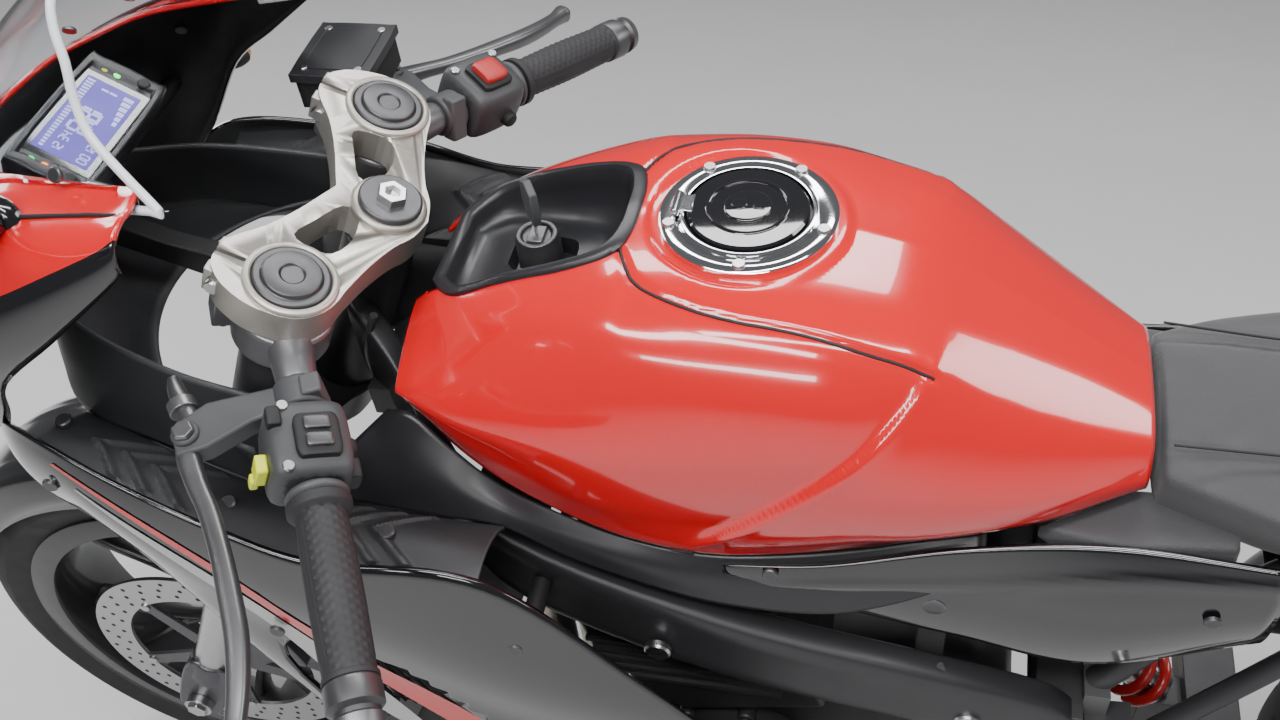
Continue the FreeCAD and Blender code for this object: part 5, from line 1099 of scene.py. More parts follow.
def fairings():
    left = []
    for row in arc_grid(SIDE_TABLE, 60, 10):
        out = []
        for j, p in enumerate(row):
            t = j / (len(row) - 1)
            before, after = row[max(j - 1, 0)], row[min(j + 1, len(row) - 1)]
            n = Vector((0, before.z - after.z, after.y - before.y)).normalized()
            # A hollow below the upper edge, and a character line lower down
            hollow = 7.0 * hump(p.z - (640 - (360 - p.x) * 0.55), 46)
            edge = 1.6 * hump(p.z - (430 - (250 - p.x) * 0.35), 16)
            push = -hollow * (1 if 90 < p.x < 560 else ease(1 - max(90 - p.x,
                                                                    p.x - 560) / 60)) + edge * (p.x < 420)
            out.append(p + n * push * ease(min(t, 1 - t) / 0.06))
        left.append(out)
    skins = {1: left, -1: [flip(row) for row in left]}
    vent = smooth_flat([(392, 560), (430, 640), (404, 672), (330, 640), (256, 540), (286, 520)], 3, True)
    for side, name in zip(SIDES, ("left", "right")):
        b = Build().grid(skins[side])
        obj = b.make("side_fairing_" + name, BLACK, "black_paint", "fairings" if side > 0 else None, thick=4,
                     facing=(200, 0, 450), inside=PLASTIC)
        cutters = [Build().slab([(p.x, p.y) for p in vent], 100 * side, 200 * side)]
        if side > 0:
            # Room for the side stand
            cutters.append(Build().box((-200, 130, 100), (30, 260, 310)))
        carve(obj, cutters, shell=True)
    # Inner mesh of the vents
    b = Build()
    for k in range(15):
        t = k / 14
        b.pipe([(262 + 130 * t, 205, 530 + 12 * t), (330 + 96 * t, 207, 648 + 8 * t)], 1.6, 6, smooth=False)
    for k in range(7):
        t = k / 6
        b.pipe([(270 + 70 * t, 203, 530 + 120 * t), (390 + 30 * t, 205, 548 + 100 * t)], 1.6, 6, smooth=False)
    b.mirror().make("fairing_vent_mesh", DARK, "black_paint")
    # Columns: slot, places as shares along and down, widths
    stripes = ((0, ((0.16, 0.10), (0.30, 0.16), (0.46, 0.28), (0.58, 0.40), (0.68, 0.52)),
                (0.02, 0.035, 0.045, 0.035, 0.006)),
               (0, ((0.40, 0.66), (0.50, 0.60), (0.62, 0.56), (0.74, 0.58), (0.86, 0.66)),
                (0.004, 0.05, 0.07, 0.05, 0.005)),
               (1, ((0.18, 0.19), (0.30, 0.25), (0.42, 0.34), (0.50, 0.42)), (0.01, 0.07, 0.08, 0.01)),
               (1, ((0.44, 0.78), (0.54, 0.72), (0.66, 0.68), (0.78, 0.72)), (0.004, 0.06, 0.06, 0.004)))
    b = Build()
    for side in SIDES:
        for b.slot, points, widths in stripes:
            stripe(b, skins[side], points, widths, 0.9 * side)
    b.make("fairing_stripes", [CORAL, SILVER], "black_paint", outward=False)
    b = Build().bolts([(580, 206, 800), (498, 224, 764), (420, 238, 690), (236, 226, 690), (110, 212, 548),
                       (0, 194, 420), (-70, 182, 330), (330, 208, 330), (220, 180, 236), (60, 158, 210)], Y,
                       6, 3)
    b.make("fairing_screws", CAP, "black_paint")
    # The belly pan, with two ribs
    arches = [(x, y - 4.3, z, 0, z - 12, 4.3 - y, z) for x, *_, y, z in SIDE_TABLE[5:]]
    b = Build().grid([[p - Z * 3.0 * ease(1 - abs(abs(p.y) - 60) / 10) for p in row]
                      for row in arc_grid(arches, 30, 6)])
    b.make("belly_pan", PLASTIC, "black_paint", thick=4, outward=False, offset=1.0)


nose()
screen()
instrument()
cockpit()
fairings()


# Seats, side covers and tail
# Columns: x, half width, base z, edge z, crown z
RIDER_SEAT = ((-204, 70, 726, 770, 791), (-250, 90, 724, 770, 787), (-300, 106, 724, 768, 783),
              (-410, 132, 748, 770, 785), (-455, 130, 750, 782, 797), (-480, 124, 752, 796, 813),
              (-498, 114, 756, 818, 836))
PILLION = ((-504, 92, 802, 844, 861), (-540, 102, 806, 854, 870), (-600, 108, 816, 861, 877),
           (-690, 96, 832, 871, 885), (-733, 72, 842, 871, 881))


def cushion(name, table, puff, replaces=None):
    # A moulded cushion whose cover is drawn in along seams
    rows = []
    for x, half, low, edge, top in table:
        under = [(x, 0, low + 2), (x, half * 0.8, low + 2), (x, half * 0.97, low + 8),
                 (x, half, (low + edge) / 2)]
        rows.append(under + arc3((x, half, edge - 3), (x, 0, top), (x, -half, edge - 3), 10)[:6])
    fine = smooth_grid(rows, 9, 5)
    whole = []
    for i, row in enumerate(fine):
        s = i / (len(fine) - 1)
        out = []
        for p in row:
            wrinkle = 0.5 * noise.noise(Vector((p.x * 0.03, abs(p.y) * 0.05, p.z * 0.03)))
            seam = -1.6 * hump(abs(p.y) - (52 - 6 * s), 2.0) * (p.z > 760)
            out.append(p + Z * (puff * math.sin(math.pi * s) ** 0.6 + wrinkle + seam))
        whole.append(out + flip(reversed(out[1:-1])))
    Build().tube(whole).make(name, SEAT, "seat_cover", replaces, subdivide=1, angle=60)


def seats():
    cushion("rider_cushion", RIDER_SEAT, 3.0, "seats")
    cushion("pillion_cushion", PILLION, 3.0)
    # The front lobes wrap the tank's rear corners
    rows = []
    for x, inner, outer, low, high in ((-262, 60, 104, 718, 740), (-225, 58, 107, 716, 740),
                                       (-190, 58, 109, 716, 739), (-160, 78, 108, 716, 737),
                                       (-138, 92, 105, 718, 735), (-128, 96, 101, 722, 731)):
        rows.append([(x, inner, low), (x, outer - 4, low), (x, outer, (low + high) / 2), (x, outer - 5, high),
                     (x, inner, high)])
    fine = smooth_grid(rows, 8, 6)
    for name, lobe in (("left", fine), ("right", [flip(row) for row in fine])):
        Build().tube(lobe).make("seat_lobe_" + name, SEAT, "seat_cover", subdivide=1)
    b = Build()
    line = ((-210, 60, 792), (-300, 56, 787), (-400, 53, 787), (-470, 50, 808), (-496, 48, 836))
    for points in (line, flip(line)):
        b.pipe(points, 1.1, 6)
    b.pipe([(-498, -100, 822), (-500, -60, 838), (-500, 0, 842), (-500, 60, 838), (-498, 100, 822)], 1.8, 8)
    b.make("seat_piping", DARK, "seat_cover")


COVER_ROWS = ((96, 140, 700, 142, 694, 140, 688), (20, 134, 706, 139, 684, 137, 660),
              (-80, 124, 732, 134, 688, 134, 634), (-180, 112, 738, 130, 690, 130, 612),
              (-292, 118, 738, 127, 700, 118, 650))


def side_cover():
    b = Build().grid([[p + Y * 1.6 * hump(p.z - 700 + (p.x + 80) * 0.12, 5) for p in row]
                      for row in arc_grid(COVER_ROWS, 26, 12)])
    b.mirror().make("side_cover_skin", BLACK, "dark_plastic", thick=4, facing=(-100, 0, 680))
    b = Build().bolts([(60, 141, 698)], (0, 1, 0.2), 6, 3).bolts([(-250, 131, 690)], Y, 6, 3)
    for side in SIDES:
        b.turn([(0, 9), (2, 9), (3, 7), (3.2, 0.5)], (-60, 134 * side, 672), (0, side, 0), 24)
    b.make("side_cover_screws", CAP, "dark_plastic")


# Columns: x, half width, lower z, widest z, top z
TAIL = ((-296, 122, 668, 712, 752), (-360, 131, 682, 726, 766), (-440, 134, 700, 742, 786),
        (-515, 128, 722, 768, 815), (-590, 118, 746, 796, 846), (-665, 106, 769, 816, 864),
        (-740, 92, 792, 836, 880), (-790, 72, 816, 852, 887), (-822, 60, 838, 862, 890))


def tail():
    rows = []
    for x, half, low, mid, top in TAIL:
        flank = [Vector((x, 0, low + 3)), Vector((x, half * 0.5, low + 2))]
        flank += arc3((x, half * 0.80, low), (x, half, mid), (x, half * 0.84, top - 3), 16)
        flank += [Vector((x, half * 0.6, top)), Vector((x, half * 0.3, top + 1)), Vector((x, 0, top + 2))]
        rows.append(flank + flip(reversed(flank[1:-1])))
    shaped = []
    for row in lengthen(rows, 10):
        out = []
        for p in row:
            groove = 2.2 * hump(p.z - (752 + (-440 - p.x) * 0.17), 4.0)
            out.append(p - Y * (math.copysign(groove, p.y) if abs(p.y) > 20 else 0))
        shaped.append(out)
    obj = Build().tube(shaped).make("tail_shell", BLACK, "black_paint", "tail_cowl")
    # Wells for both seats
    rider = [p for p in smooth_line([(x, half + 0.8, 744) for x, half, *_ in RIDER_SEAT], 4) if p.x < -262]
    rider.insert(0, Vector((-260, 108, 744)))
    pillion = smooth_line([(x, half + 0.8, 806) for x, half, *_ in PILLION], 4) + [Vector((-737, 60, 806))]
    carve(obj, [Build().plate(ring + flip(reversed(ring)), (0, 0, 200)) for ring in (rider, pillion)])
    b = Build().grid([[Vector((x, y * half * 0.86, low + 5)) for y in (1, 0.5, 0, -0.5, -1)]
                      for x, half, low, _, _ in TAIL])
    b.make("tail_undertray", PLASTIC, "black_paint", thick=3)
    # Tail light with two rows of lamps behind a red lens
    b = Build().tube([oval(Vector((x, 0, (low + top) / 2)), Y * half, Z * (top - low) / 2, 48, 0.5, 0.6)
                      for x, half, low, top in ((-820, 58, 842, 886), (-832, 54, 845, 884),
                                                (-840, 47, 849, 880), (-842, 42, 852, 877))])
    b.make("tail_light_lens", RED_LENS, "clear_lens", angle=50)
    b = Build()
    for z in (857, 870):
        for k in range(7):
            b.turn([(0, 4.5), (1.2, 4.0), (1.6, 0.5)], (-842, -33 + k * 11, z), -X, 14)
    b.make("tail_light_dots", KILL, "clear_lens")


def rear_hanger():
    outer = ((-700, 776), (-700, 764), (-800, 690), (-904, 560), (-908, 566), (-812, 705), (-745, 776))
    b = Build().slab(outer, -58, 116).box((-743, -30, 770), (-727, 30, 803))
    b.make("rear_mudguard_hanger", PLASTIC, "dark_plastic", "rear_mudguard", bevel=4, bevel_steps=3)
    b = Build().slab(((-864, 640), (-860, 640), (-938, 520), (-942, 520)), -95, 190)
    b.make("number_plate_blank", PLATE, "dark_plastic", bevel=2)
    lamp, back = (-850, 0, 655), (-0.9, 0, 0.4)
    b = Build().pipe([(-866, -92, 636), (-866, 92, 636), (-938, 92, 526), (-938, -92, 526), (-866, -92, 636)],
                     3, 8, smooth=False)
    b.turn([(0, 26), (6, 26), (9, 22), (9.5, 0.5)], lamp, back, 36).make("plate_frame", DARK, "dark_plastic")
    Build().turn([(9.6, 22), (10.6, 20), (11, 0.5)], lamp, back, 36).make("rear_reflector", RED_LENS,
                                                                          "dark_plastic")
    # Indicators, as ovals at steps out from the body
    b, lens = Build(), Build()
    for x, y, z, inner in ((600, 226, 880, 196), (-790, 112, 716, 58)):
        for build, steps in ((b, ((-14, 0.45), (-12, 0.62), (-4, 0.9), (2, 1.0))),
                             (lens, ((2, 0.98), (8, 0.9), (13, 0.7), (15.5, 0.4), (16, 0.03)))):
            build.tube([oval(Vector((x, y + d, z)), X * 16 * s, Z * 11 * s, 32) for d, s in steps])
        b.pipe([(x, y - 12, z), (x, inner, z)], 6, 16, smooth=False)
    b.mirror().make("indicator_bodies", DARK, "clear_lens")
    lens.mirror().make("indicator_lenses", AMBER, "clear_lens")


def mirror_heads():
    rows = []
    # Columns: y, x, z, half depth, half height; the rear half is a little flatter
    for y, x, z, d, h in ((262, 528, 1062, 13, 26), (290, 524, 1072, 22, 36), (345, 512, 1078, 22, 36),
                          (378, 502, 1075, 15, 25), (386, 499, 1073, 9, 15)):
        middle = x + d * 0.35
        ring = oval(Vector((middle, y, z)), X * d * 0.75, Z * h, 32, 0.8, 0.7)
        rows.append([p if p.x > middle else p + X * (middle - p.x) * 0.1 for p in ring])
    b = Build().tube(lengthen(rows, 6))
    b.pipe([(560, 146, 1000), (552, 176, 1022), (545, 212, 1040), (534, 250, 1056), (528, 285, 1066)],
           [10, 9, 8, 8, 9], 18)
    b.turn([(0, 20), (6, 18), (9, 12)], (562, 142, 998), (-0.1, 0.9, 0.4), 28)
    b.mirror().make("mirror_shells", BLACK, "dark_plastic", "mirrors", angle=50)
    b = Build().grid([oval(Vector((506.5 + dx, 322, 1074.5)), Vector((-8, 50, 0)) * s, Z * 27 * s, 48, 0.6)
                      for s, dx in ((1.0, 0), (0.97, -1.2), (0.02, -1.4))], ring=True)
    b.mirror().make("mirror_glass", CHROME, "dark_plastic")


seats()
side_cover()
tail()
rear_hanger()
mirror_heads()


# Frame, swingarm, engine and what they carry
def beam_rows(sections):
    # Columns: x, y, z, half width, half height
    return lengthen([oval(Vector((x, y, z)), Y * w, Z * h, 32, 0.45) for x, y, z, w, h in sections], 5)


def main_frame():
    spar = ((398, 26, 802, 16, 44), (352, 62, 762, 16, 44), (318, 104, 724, 16, 42), (262, 132, 664, 15, 40),
            (100, 143, 602, 15, 40), (-60, 140, 562, 15, 38), (-150, 131, 528, 15, 36),
            (-190, 122, 480, 15, 36))
    shaped = []
    for row in beam_rows(spar):
        centre = sum(row, Vector()) / len(row)
        out = []
        for p in row:
            # A long hollow pressed into the outer face
            q = (p.z - centre.z) / 40
            hollow = 2.6 * ease((0.55 - abs(q)) / 0.2) if p.y > centre.y + 4 and -60 < centre.x < 290 else 0
            out.append(p - Y * hollow)
        shaped.append(out)
    plate = ((-84, 500), (-150, 512), (-226, 520), (-236, 470), (-238, 430), (-230, 340), (-222, 266),
             (-176, 262), (-160, 310), (-150, 350), (-144, 385), (-140, 408), (-84, 415))
    b = Build().tube(shaped).slab(plate, 104, 26).mirror()
    b.box((304, -60, 740), (392, 60, 770)).box((-186, -134, 498), (-150, 134, 534))
    b.turn([(-108, 12), (108, 12)], (-200, 0, 282), Y, 28)
    b.turn([(-193.5, 28), (-28.5, 28)], ORIGIN, Z, 48, CLAMP)
    b.make("frame_beams", FRAME, "frame_paint", "frame", bevel=2.5, bevel_steps=3)
    b = Build().bolts([(150, 158, 600), (-96, 150, 540), (-110, 130, 470)], Y, 11, 6)
    b.bolts([(-222 + 8 * k, 130, 300 + 90 * k) for k in range(3)], Y, 7, 4)
    for side in SIDES:
        b.turn([(0, 24), (3, 24), (4, 22), (4, 16)], (ARM_PIVOT[0], 130 * side, ARM_PIVOT[2]), (0, side, 0),
               40)
    b.make("frame_bolts", STEEL, "frame_paint")
    # A row of welds where the spars meet the head
    b = Build()
    for line, radius in ((((372, 48, 842), (385, 50, 812), (392, 44, 780), (390, 40, 748)), 3.2),
                         (((-70, 141, 600), (-92, 140, 560), (-96, 140, 520)), 3.0)):
        for points in (line, flip(line)):
            b.pipe(points, radius, 10)
    b.make("frame_welds", FRAME, "frame_paint")


def rear_frame():
    b = Build().pipe([(-196, 100, 540), (-262, 90, 640), (-310, 84, 700), (-380, 79, 724), (-470, 74, 744),
                      (-745, 50, 806)], 11, 20)
    b.pipe([(-226, 117, 470), (-300, 100, 560), (-350, 90, 624), (-410, 80, 690), (-470, 74, 742)], 9, 18)
    b.box((-206, 88, 514), (-186, 118, 545)).mirror()
    for x, y, z in ((-470, 74, 740), (-735, 51, 803)):
        b.pipe([(x, -y, z), (x, y, z)], 9, 18, smooth=False)
    b.make("subframe_rails", FRAME, "frame_paint", "subframe")


def mounts():
    b = Build()
    for side in SIDES:
        b.turn([(100, 12), (129, 12)], (150, 0, 600), (0, side, 0), 24)
        b.turn([(84, 8), (105, 8)], (-96, 0, 428), (0, side, 0), 20)
        b.turn([(148, 8), (231, 8)], (240, 0, 660), (0, side, 0), 20)
        b.box((118, 120 * side, 640), (148, 136 * side, 706))
        b.box((-72, 119 * side, 592), (-50, 130 * side, 648))
    b.box((304, -20, 770), (328, 20, 812))
    b.slab(((439, 795), (423, 827), (556, 862), (634, 892), (648, 884), (640, 870), (566, 842), (450, 798)),
           -9, 18)
    b.pipe([(640, -190, 880), (640, 190, 880)], 8, 20, smooth=False)
    b.make("body_brackets", DARK, "black_metal", "body_mounts", bevel=1.5)


def rear_arm():
    rows = ((-198, 86, 374, 14, 22), (-250, 88, 372, 14, 24), (-300, 98, 368, 14, 29),
            (-345, 112, 362, 13, 32), (-430, 118, 350, 13, 29), (-540, 118, 330, 13, 27),
            (-640, 118, 310, 13, 26), (-722, 118, 306.4, 13, 24))
    b = Build().tube(beam_rows(rows)).turn([(131, 11), (148, 11), (150, 14), (152, 14)], (-640, 0, 310), Y,
                                           28)
    b.slab(((-640, 332), (-722, 330), (-735, 306), (-722, 283), (-650, 284)), 131, 5).mirror()
    b.turn([(-103, 24), (103, 24)], ARM_PIVOT, Y, 40)
    b.box((-346, -100, 345), (-300, 100, 390)).box((-301, -16, 330), (-262, 16, 372))
    b.make("swingarm_beams", FRAME, "swingarm_paint", "swingarm", bevel=2.5, bevel_steps=3)
    b = Build()
    for side in SIDES:
        out = (0, side, 0)
        b.turn([(137, 18), (140, 18), (141, 16), (147, 13), (150, 13)], REAR_AXLE, out, 6)
        b.turn([(136, 22), (139, 22)], REAR_AXLE, out, 36)
        b.turn([(130, 15), (138, 15), (139, 12)], ARM_PIVOT, out, 6)
        b.pipe([(-742, 118 * side, REAR_AXLE.z), (-700, 118 * side, REAR_AXLE.z)], 4, 12, smooth=False)
        b.turn([(0, 7), (5, 7)], (-744, 118 * side, REAR_AXLE.z), -X, 6)
        # Marks beside the axle slot
        for k in range(7):
            b.box((-712 + k * 7, 136 * side, 324), (-711 + k * 7, 136.6 * side, 328 if k % 2 else 330))
    b.turn([(-138, 10), (138, 10)], REAR_AXLE, Y, 28)
    b.make("rear_axle_and_pivot", STEEL, "steel", "rear_pins", bevel=0.5)


def shock():
    top, low = Vector((-168, 0, 497.5)), Vector((-281, 0, 372.5))
    axis = (low - top).normalized()
    length = (low - top).length
    b = Build().turn([(0, 12), (14, 18), (16, 22), (24, 22), (26, 16), (length - 24, 16), (length - 22, 24),
                      (length - 16, 24), (length - 14, 12), (length, 10)], top, axis, 32)
    b.make("shock_body", STEEL, "spring_paint")
    side = axis.orthogonal().normalized()
    # Five and a half turns, in 20 steps each
    steps = 110
    line = []
    for i in range(steps + 1):
        a = TURN * i / 20
        line.append(top + axis * (26 + (length - 50) * i / steps)
                    + (side * math.cos(a) + axis.cross(side) * math.sin(a)) * 26)
    Build().pipe(line, 5.2, 12, smooth=False).make("shock_spring", SPRING, "spring_paint", "rear_shock")


def engine():
    case = smooth_flat([(-150, 300), (-120, 430), (-20, 452), (150, 420), (178, 330), (150, 220), (40, 190),
                        (-90, 202)], 3, True)
    b = Build().slab([(p.x, p.y) for p in case], -92, 176)
    b.make("engine_case", ENGINE, "engine_metal", "engine", bevel=5, bevel_steps=3)
    b = Build().slab(((20, 440), (66, 596), (120, 632), (250, 590), (222, 440), (150, 400)), -105, 210)
    b.make("cylinder_block", ENGINE, "engine_metal", bevel=5, bevel_steps=3)
    covers, details = Build(), Build()
    # Columns: side, x, z, radius, inner and outer y, bolts
    for side, cx, cz, r, y0, y1, n in ((1, 110, 318, 76, 84, 150, 8), (-1, 50, 322, 88, 92, 158, 8),
                                       (-1, 150, 300, 46, 92, 140, 5)):
        covers.turn([(y0, r), (y1 - 14, r), (y1 - 4, r * 0.9), (y1, r * 0.78), (y1, r * 0.5),
                     (y1 - 3, r * 0.46), (y1 - 3, 0.5)], (cx, 0, cz), (0, side, 0), 64)
        for k in range(n):
            a = TURN * k / n + 0.2
            px, pz = cx + (r - 1) * math.cos(a), cz + (r - 1) * math.sin(a)
            covers.turn([(y0, 9), (y0 + 18, 9), (y0 + 20, 7)], (px, 0, pz), (0, side, 0), 20)
            details.bolt((px, (y0 + 20) * side, pz), (0, side, 0), 6, 4)
    covers.turn([(84, 22), (100, 22)], (-105, 0, 372), Y, 28)
    covers.make("engine_covers", ENGINE, "engine_metal", bevel=1.0)
    # Cooling ribs low on the cylinders
    for side in SIDES:
        for k in range(5):
            details.box((60 + k * 4, 104 * side, 452 + k * 14), (214 + k * 5, 108 * side, 457 + k * 14))
    details.make("engine_details", CAP, "engine_metal")


def radiator():
    b = Build().slab(((324, 442), (350, 442), (330, 634), (304, 634)), -150, 300)
    b.make("radiator_core", FINS, "black_metal", "radiator")
    b = Build()
    for side in SIDES:
        b.slab(((318, 436), (356, 436), (336, 640), (298, 640)), 150 * side, 16 * side)
        b.box((308, 96 * side, 636), (328, 112 * side, 684))
    for k in range(24):
        z = 450 + k * 7.8
        x = 351.5 - (z - 442) * 20 / 192
        b.box((x - 1, -149, z), (x + 1.6, 149, z + 2.6))
    b.make("radiator_tanks", DARK, "black_metal", bevel=1.0)


def exhaust():
    header = ((246, 48, 520), (272, 48, 500), (285, 47, 465), (288, 44, 330), (285, 41, 220), (262, 37, 180),
              (210, 30, 165), (90, 14, 164))
    b = Build().pipe(header, 17, 24).mirror()
    b.pipe([(96, 0, 165), (-60, -5, 165), (-140, -12, 166), (-200, -50, 171), (-250, -105, 196),
            (-310, -172, 232), (-355, -186, 252), (-400, -196, 270)], 20, 28)
    b.turn([(0, 24), (5, 24)], (250, 48, 517), (0.8, 0, -0.5), 28)
    b.make("exhaust_pipes", PIPE, "steel_pipe")
    can = ((-392, -194, 266, 28, 32), (-408, -196, 276, 36, 44), (-430, -198, 290, 43, 53),
           (-500, -201, 318, 44, 55), (-640, -206, 378, 44, 56), (-672, -207, 391, 42, 52),
           (-690, -208, 399, 36, 44), (-700, -208, 403, 30, 36))
    b = Build().tube(lengthen([oval(Vector((x, y, z)), Y * w, Z * h, 48) for x, y, z, w, h in can], 5))
    b.make("silencer_can", CAN, "steel_pipe", "exhaust")
    b = Build().turn([(0, 15), (0, 18), (14, 18), (14, 15), (2, 14.5), (2, 0.5)], (-698, -208, 405),
                     (-0.92, 0, 0.38), 36)
    for x, y, z, w, h in ((-440, -198.5, 294, 44.6, 55), (-634, -205.8, 375.5, 45, 57)):
        b.grid([oval(Vector((x + d, y, z - d * 0.42)), Y * w, Z * h, 48) for d in (-5, 5)], ring=True)
    b.make("silencer_trim", STEEL, "steel_pipe", thick=1.0)


def chain_path():
    big, small = (CHAIN_PITCH / (2 * math.sin(math.pi / n)) for n in (REAR_TEETH, FRONT_TEETH))
    front = Vector((-105, 0, 372))
    across = front - REAR_AXLE
    base = math.atan2(across.z, across.x)
    tilt = math.acos((big - small) / across.length)
    straight = math.sqrt(across.length ** 2 - (big - small) ** 2)
    # Columns: centre, radius, angle at the start, angle turned, length of a straight run
    parts = ((REAR_AXLE, big, base + tilt, 2 * (math.pi - tilt), 0),
             (REAR_AXLE, big, base - tilt, 0, straight), (front, small, base - tilt, 2 * tilt, 0),
             (front, small, base + tilt, 0, straight))
    total = sum(turn * radius + run for _, radius, _, turn, run in parts)

    def place(distance):
        for centre, radius, angle, turn, run in parts:
            if distance <= turn * radius + run:
                a = angle + (distance / radius if turn else 0)
                out, along = X * math.cos(a) + Z * math.sin(a), Z * math.cos(a) - X * math.sin(a)
                return centre + out * radius + along * (0 if turn else distance)
            distance -= turn * radius + run
        return place(0)
    count = round(total / CHAIN_PITCH)
    return [place(total * i / count) for i in range(count)]


def chain():
    pins = chain_path()
    bend = [math.pi * (k / 6 - 0.5) for k in range(7)]
    b = Build()
    for i, p in enumerate(pins):
        q = pins[(i + 1) % len(pins)]
        run = (q - p).normalized()
        up = Vector((-run.z, 0, run.x))
        ends = [(run * math.cos(a) + up * math.sin(a)) * 6.8 for a in bend]
        ring = [q + end for end in ends] + [(p + q) / 2 + up * 5.0]
        ring += [p - end for end in ends] + [(p + q) / 2 - up * 5.0]
        for side in SIDES:
            b.slab([(r.x, r.z) for r in ring], 91.1 + side * (5.0 if i % 2 else 3.2), 1.8)
        b.turn([(-6.4, 3.0), (6.4, 3.0)], (p.x, 92, p.z), Y, 10)
    b.make("chain_links", CHAIN, "chain_steel", "chain")


def controls():
    hanger = smooth_flat([(-150, 420), (-215, 440), (-330, 380), (-300, 330), (-250, 318), (-180, 330)], 3,
                         True)
    b = Build().slab([(p.x, p.y) for p in hanger], 142, 8)
    for x, z in ((-160, 410), (-200, 345)):
        b.turn([(130, 9), (142, 9)], (x, 0, z), Y, 20)
    b.slab(((-262, 380), (-330, 380), (-352, 450), (-300, 470)), 142, 4)
    b.mirror().make("footrest_hangers", FRAME, "satin_metal", "foot_controls", bevel=1.5)
    ribs = [(160 + k * 4 + d, 10 if d in (0, 3) else 8.8) for k in range(19) for d in (0, 1.2, 2.4, 3)]
    b = Build().turn([(150, 12), (156, 12), (157, 10)] + ribs + [(240, 10), (242, 8)], (-272, 0, 345), Y, 28)
    b.mirror().make("footpegs", STEEL, "satin_metal", angle=30)
    b = Build().slab(((-258, 336), (-258, 318), (-130, 301), (-118, 310), (-130, 321)), 150.4, 7.4)
    b.turn([(157, 7), (192, 7), (192, 5)], (-126, 0, 310), Y, 20)
    b.mirror().make("pedal_arms", LEVER, "satin_metal", bevel=1.2)
    b = Build().turn([(162, 8.6), (190, 8.6), (191, 7)], (-126, 0, 310), Y, 20).mirror()
    b.pipe([(-140, 154, 322), (-150, 130, 360), (-140, 112, 372)], 4, 12)
    b.make("pedal_rubbers", RUBBER, "satin_metal")


def stand():
    lean = math.radians(LEAN_DEG)
    pivot = Vector((-40, 118, 262))
    foot = Vector((5, 252, 252 * math.tan(lean) - 56 * (1 - math.cos(lean)) / math.cos(lean)))
    ankle = foot + Vector((0, -math.sin(lean), math.cos(lean))) * 12
    axis = (foot - pivot).cross(Vector((-1, 0.24, -0.02))).normalized()
    bend = pivot.lerp(ankle, 0.5) + Vector((-3, 2, 0))
    b = Build().pipe([pivot, pivot.lerp(ankle, 0.15), bend, pivot.lerp(ankle, 0.85), ankle],
                     [12, 11.6, 11, 10.4, 10.4], 24)
    b.turn([(-13, 16), (-12, 17), (12, 17), (13, 16)], pivot, axis, 36)
    pad = smooth_line([(x, y, 0.3) for x, y in ((-34, -24), (30, -24), (38, -8), (38, 16), (-20, 26),
                                                (-36, 12))], 3,
                      True)
    b.plate(pad, (0, 0, 7.7), turned(LEAN_DEG, "X", foot))
    b.make("stand_leg", DARK, "black_metal", "side_stand", "side_stand", bevel=1.0)
    b = Build().turn([(14, 11), (19, 11)], pivot, axis, 6).turn([(-26, 6), (17, 6)], pivot, axis, 20)
    b.turn([(-28, 18), (-14, 18)], pivot, axis, 36)
    b.pipe([pivot - axis * 24, (-198, 95, 282)], 9, 18, smooth=False)
    b.make("stand_pin", STEEL, "black_metal", bevel=0.8)


main_frame()
rear_frame()
mounts()
rear_arm()
shock()
engine()
radiator()
exhaust()
chain()
controls()
stand()


# Wheels and brakes
def wheel_tyre(name, axle, radius, half, crown_radius, bead, node, body, grooves):
    centre = radius - crown_radius
    wall = [(bead - 3, 217), (bead + 0.5, 218), (bead + 1.5, 228), (bead + 3, 234)]
    profile = [(-y, r) for y, r in wall]
    for k in range(57):
        a = math.radians(152 * k / 56 - 76)
        profile.append((crown_radius * math.sin(a) * min(1, half / crown_radius),
                        centre + crown_radius * math.cos(a)))
    profile += reversed(wall)
    sides = 720
    rows = []
    for i in range(sides):
        a = TURN * i / sides
        row = []
        for y, r in profile:
            sink = 0.0
            for way, offset in ((1, 0.0), (-1, 0.5)) if r > centre + crown_radius * 0.42 else ():
                w = y * way / half
                if 0.08 < w < 0.86:
                    # Slanted grooves that curve back from near the middle
                    at = (i * grooves / sides + offset + 0.55 * w ** 1.5) % 1.0
                    sink = max(sink, 3.2 * ease(1.35 - abs(at - 0.5) / (0.055 * (1.1 - 0.5 * w))))
                if 0.38 < w < 0.74:
                    at = (i * grooves / sides + offset + 0.42 + 0.35 * w) % 1.0
                    sink = max(sink, 2.6 * ease(1.3 - abs(at - 0.5) / 0.035))
            row.append(Vector((axle.x + (r - sink) * math.cos(a), y, axle.z + (r - sink) * math.sin(a))))
        rows.append(row)
    Build().grid(rows, loop=True).make(name, TYRE, "tyre", node, body, outward=False, angle=50)


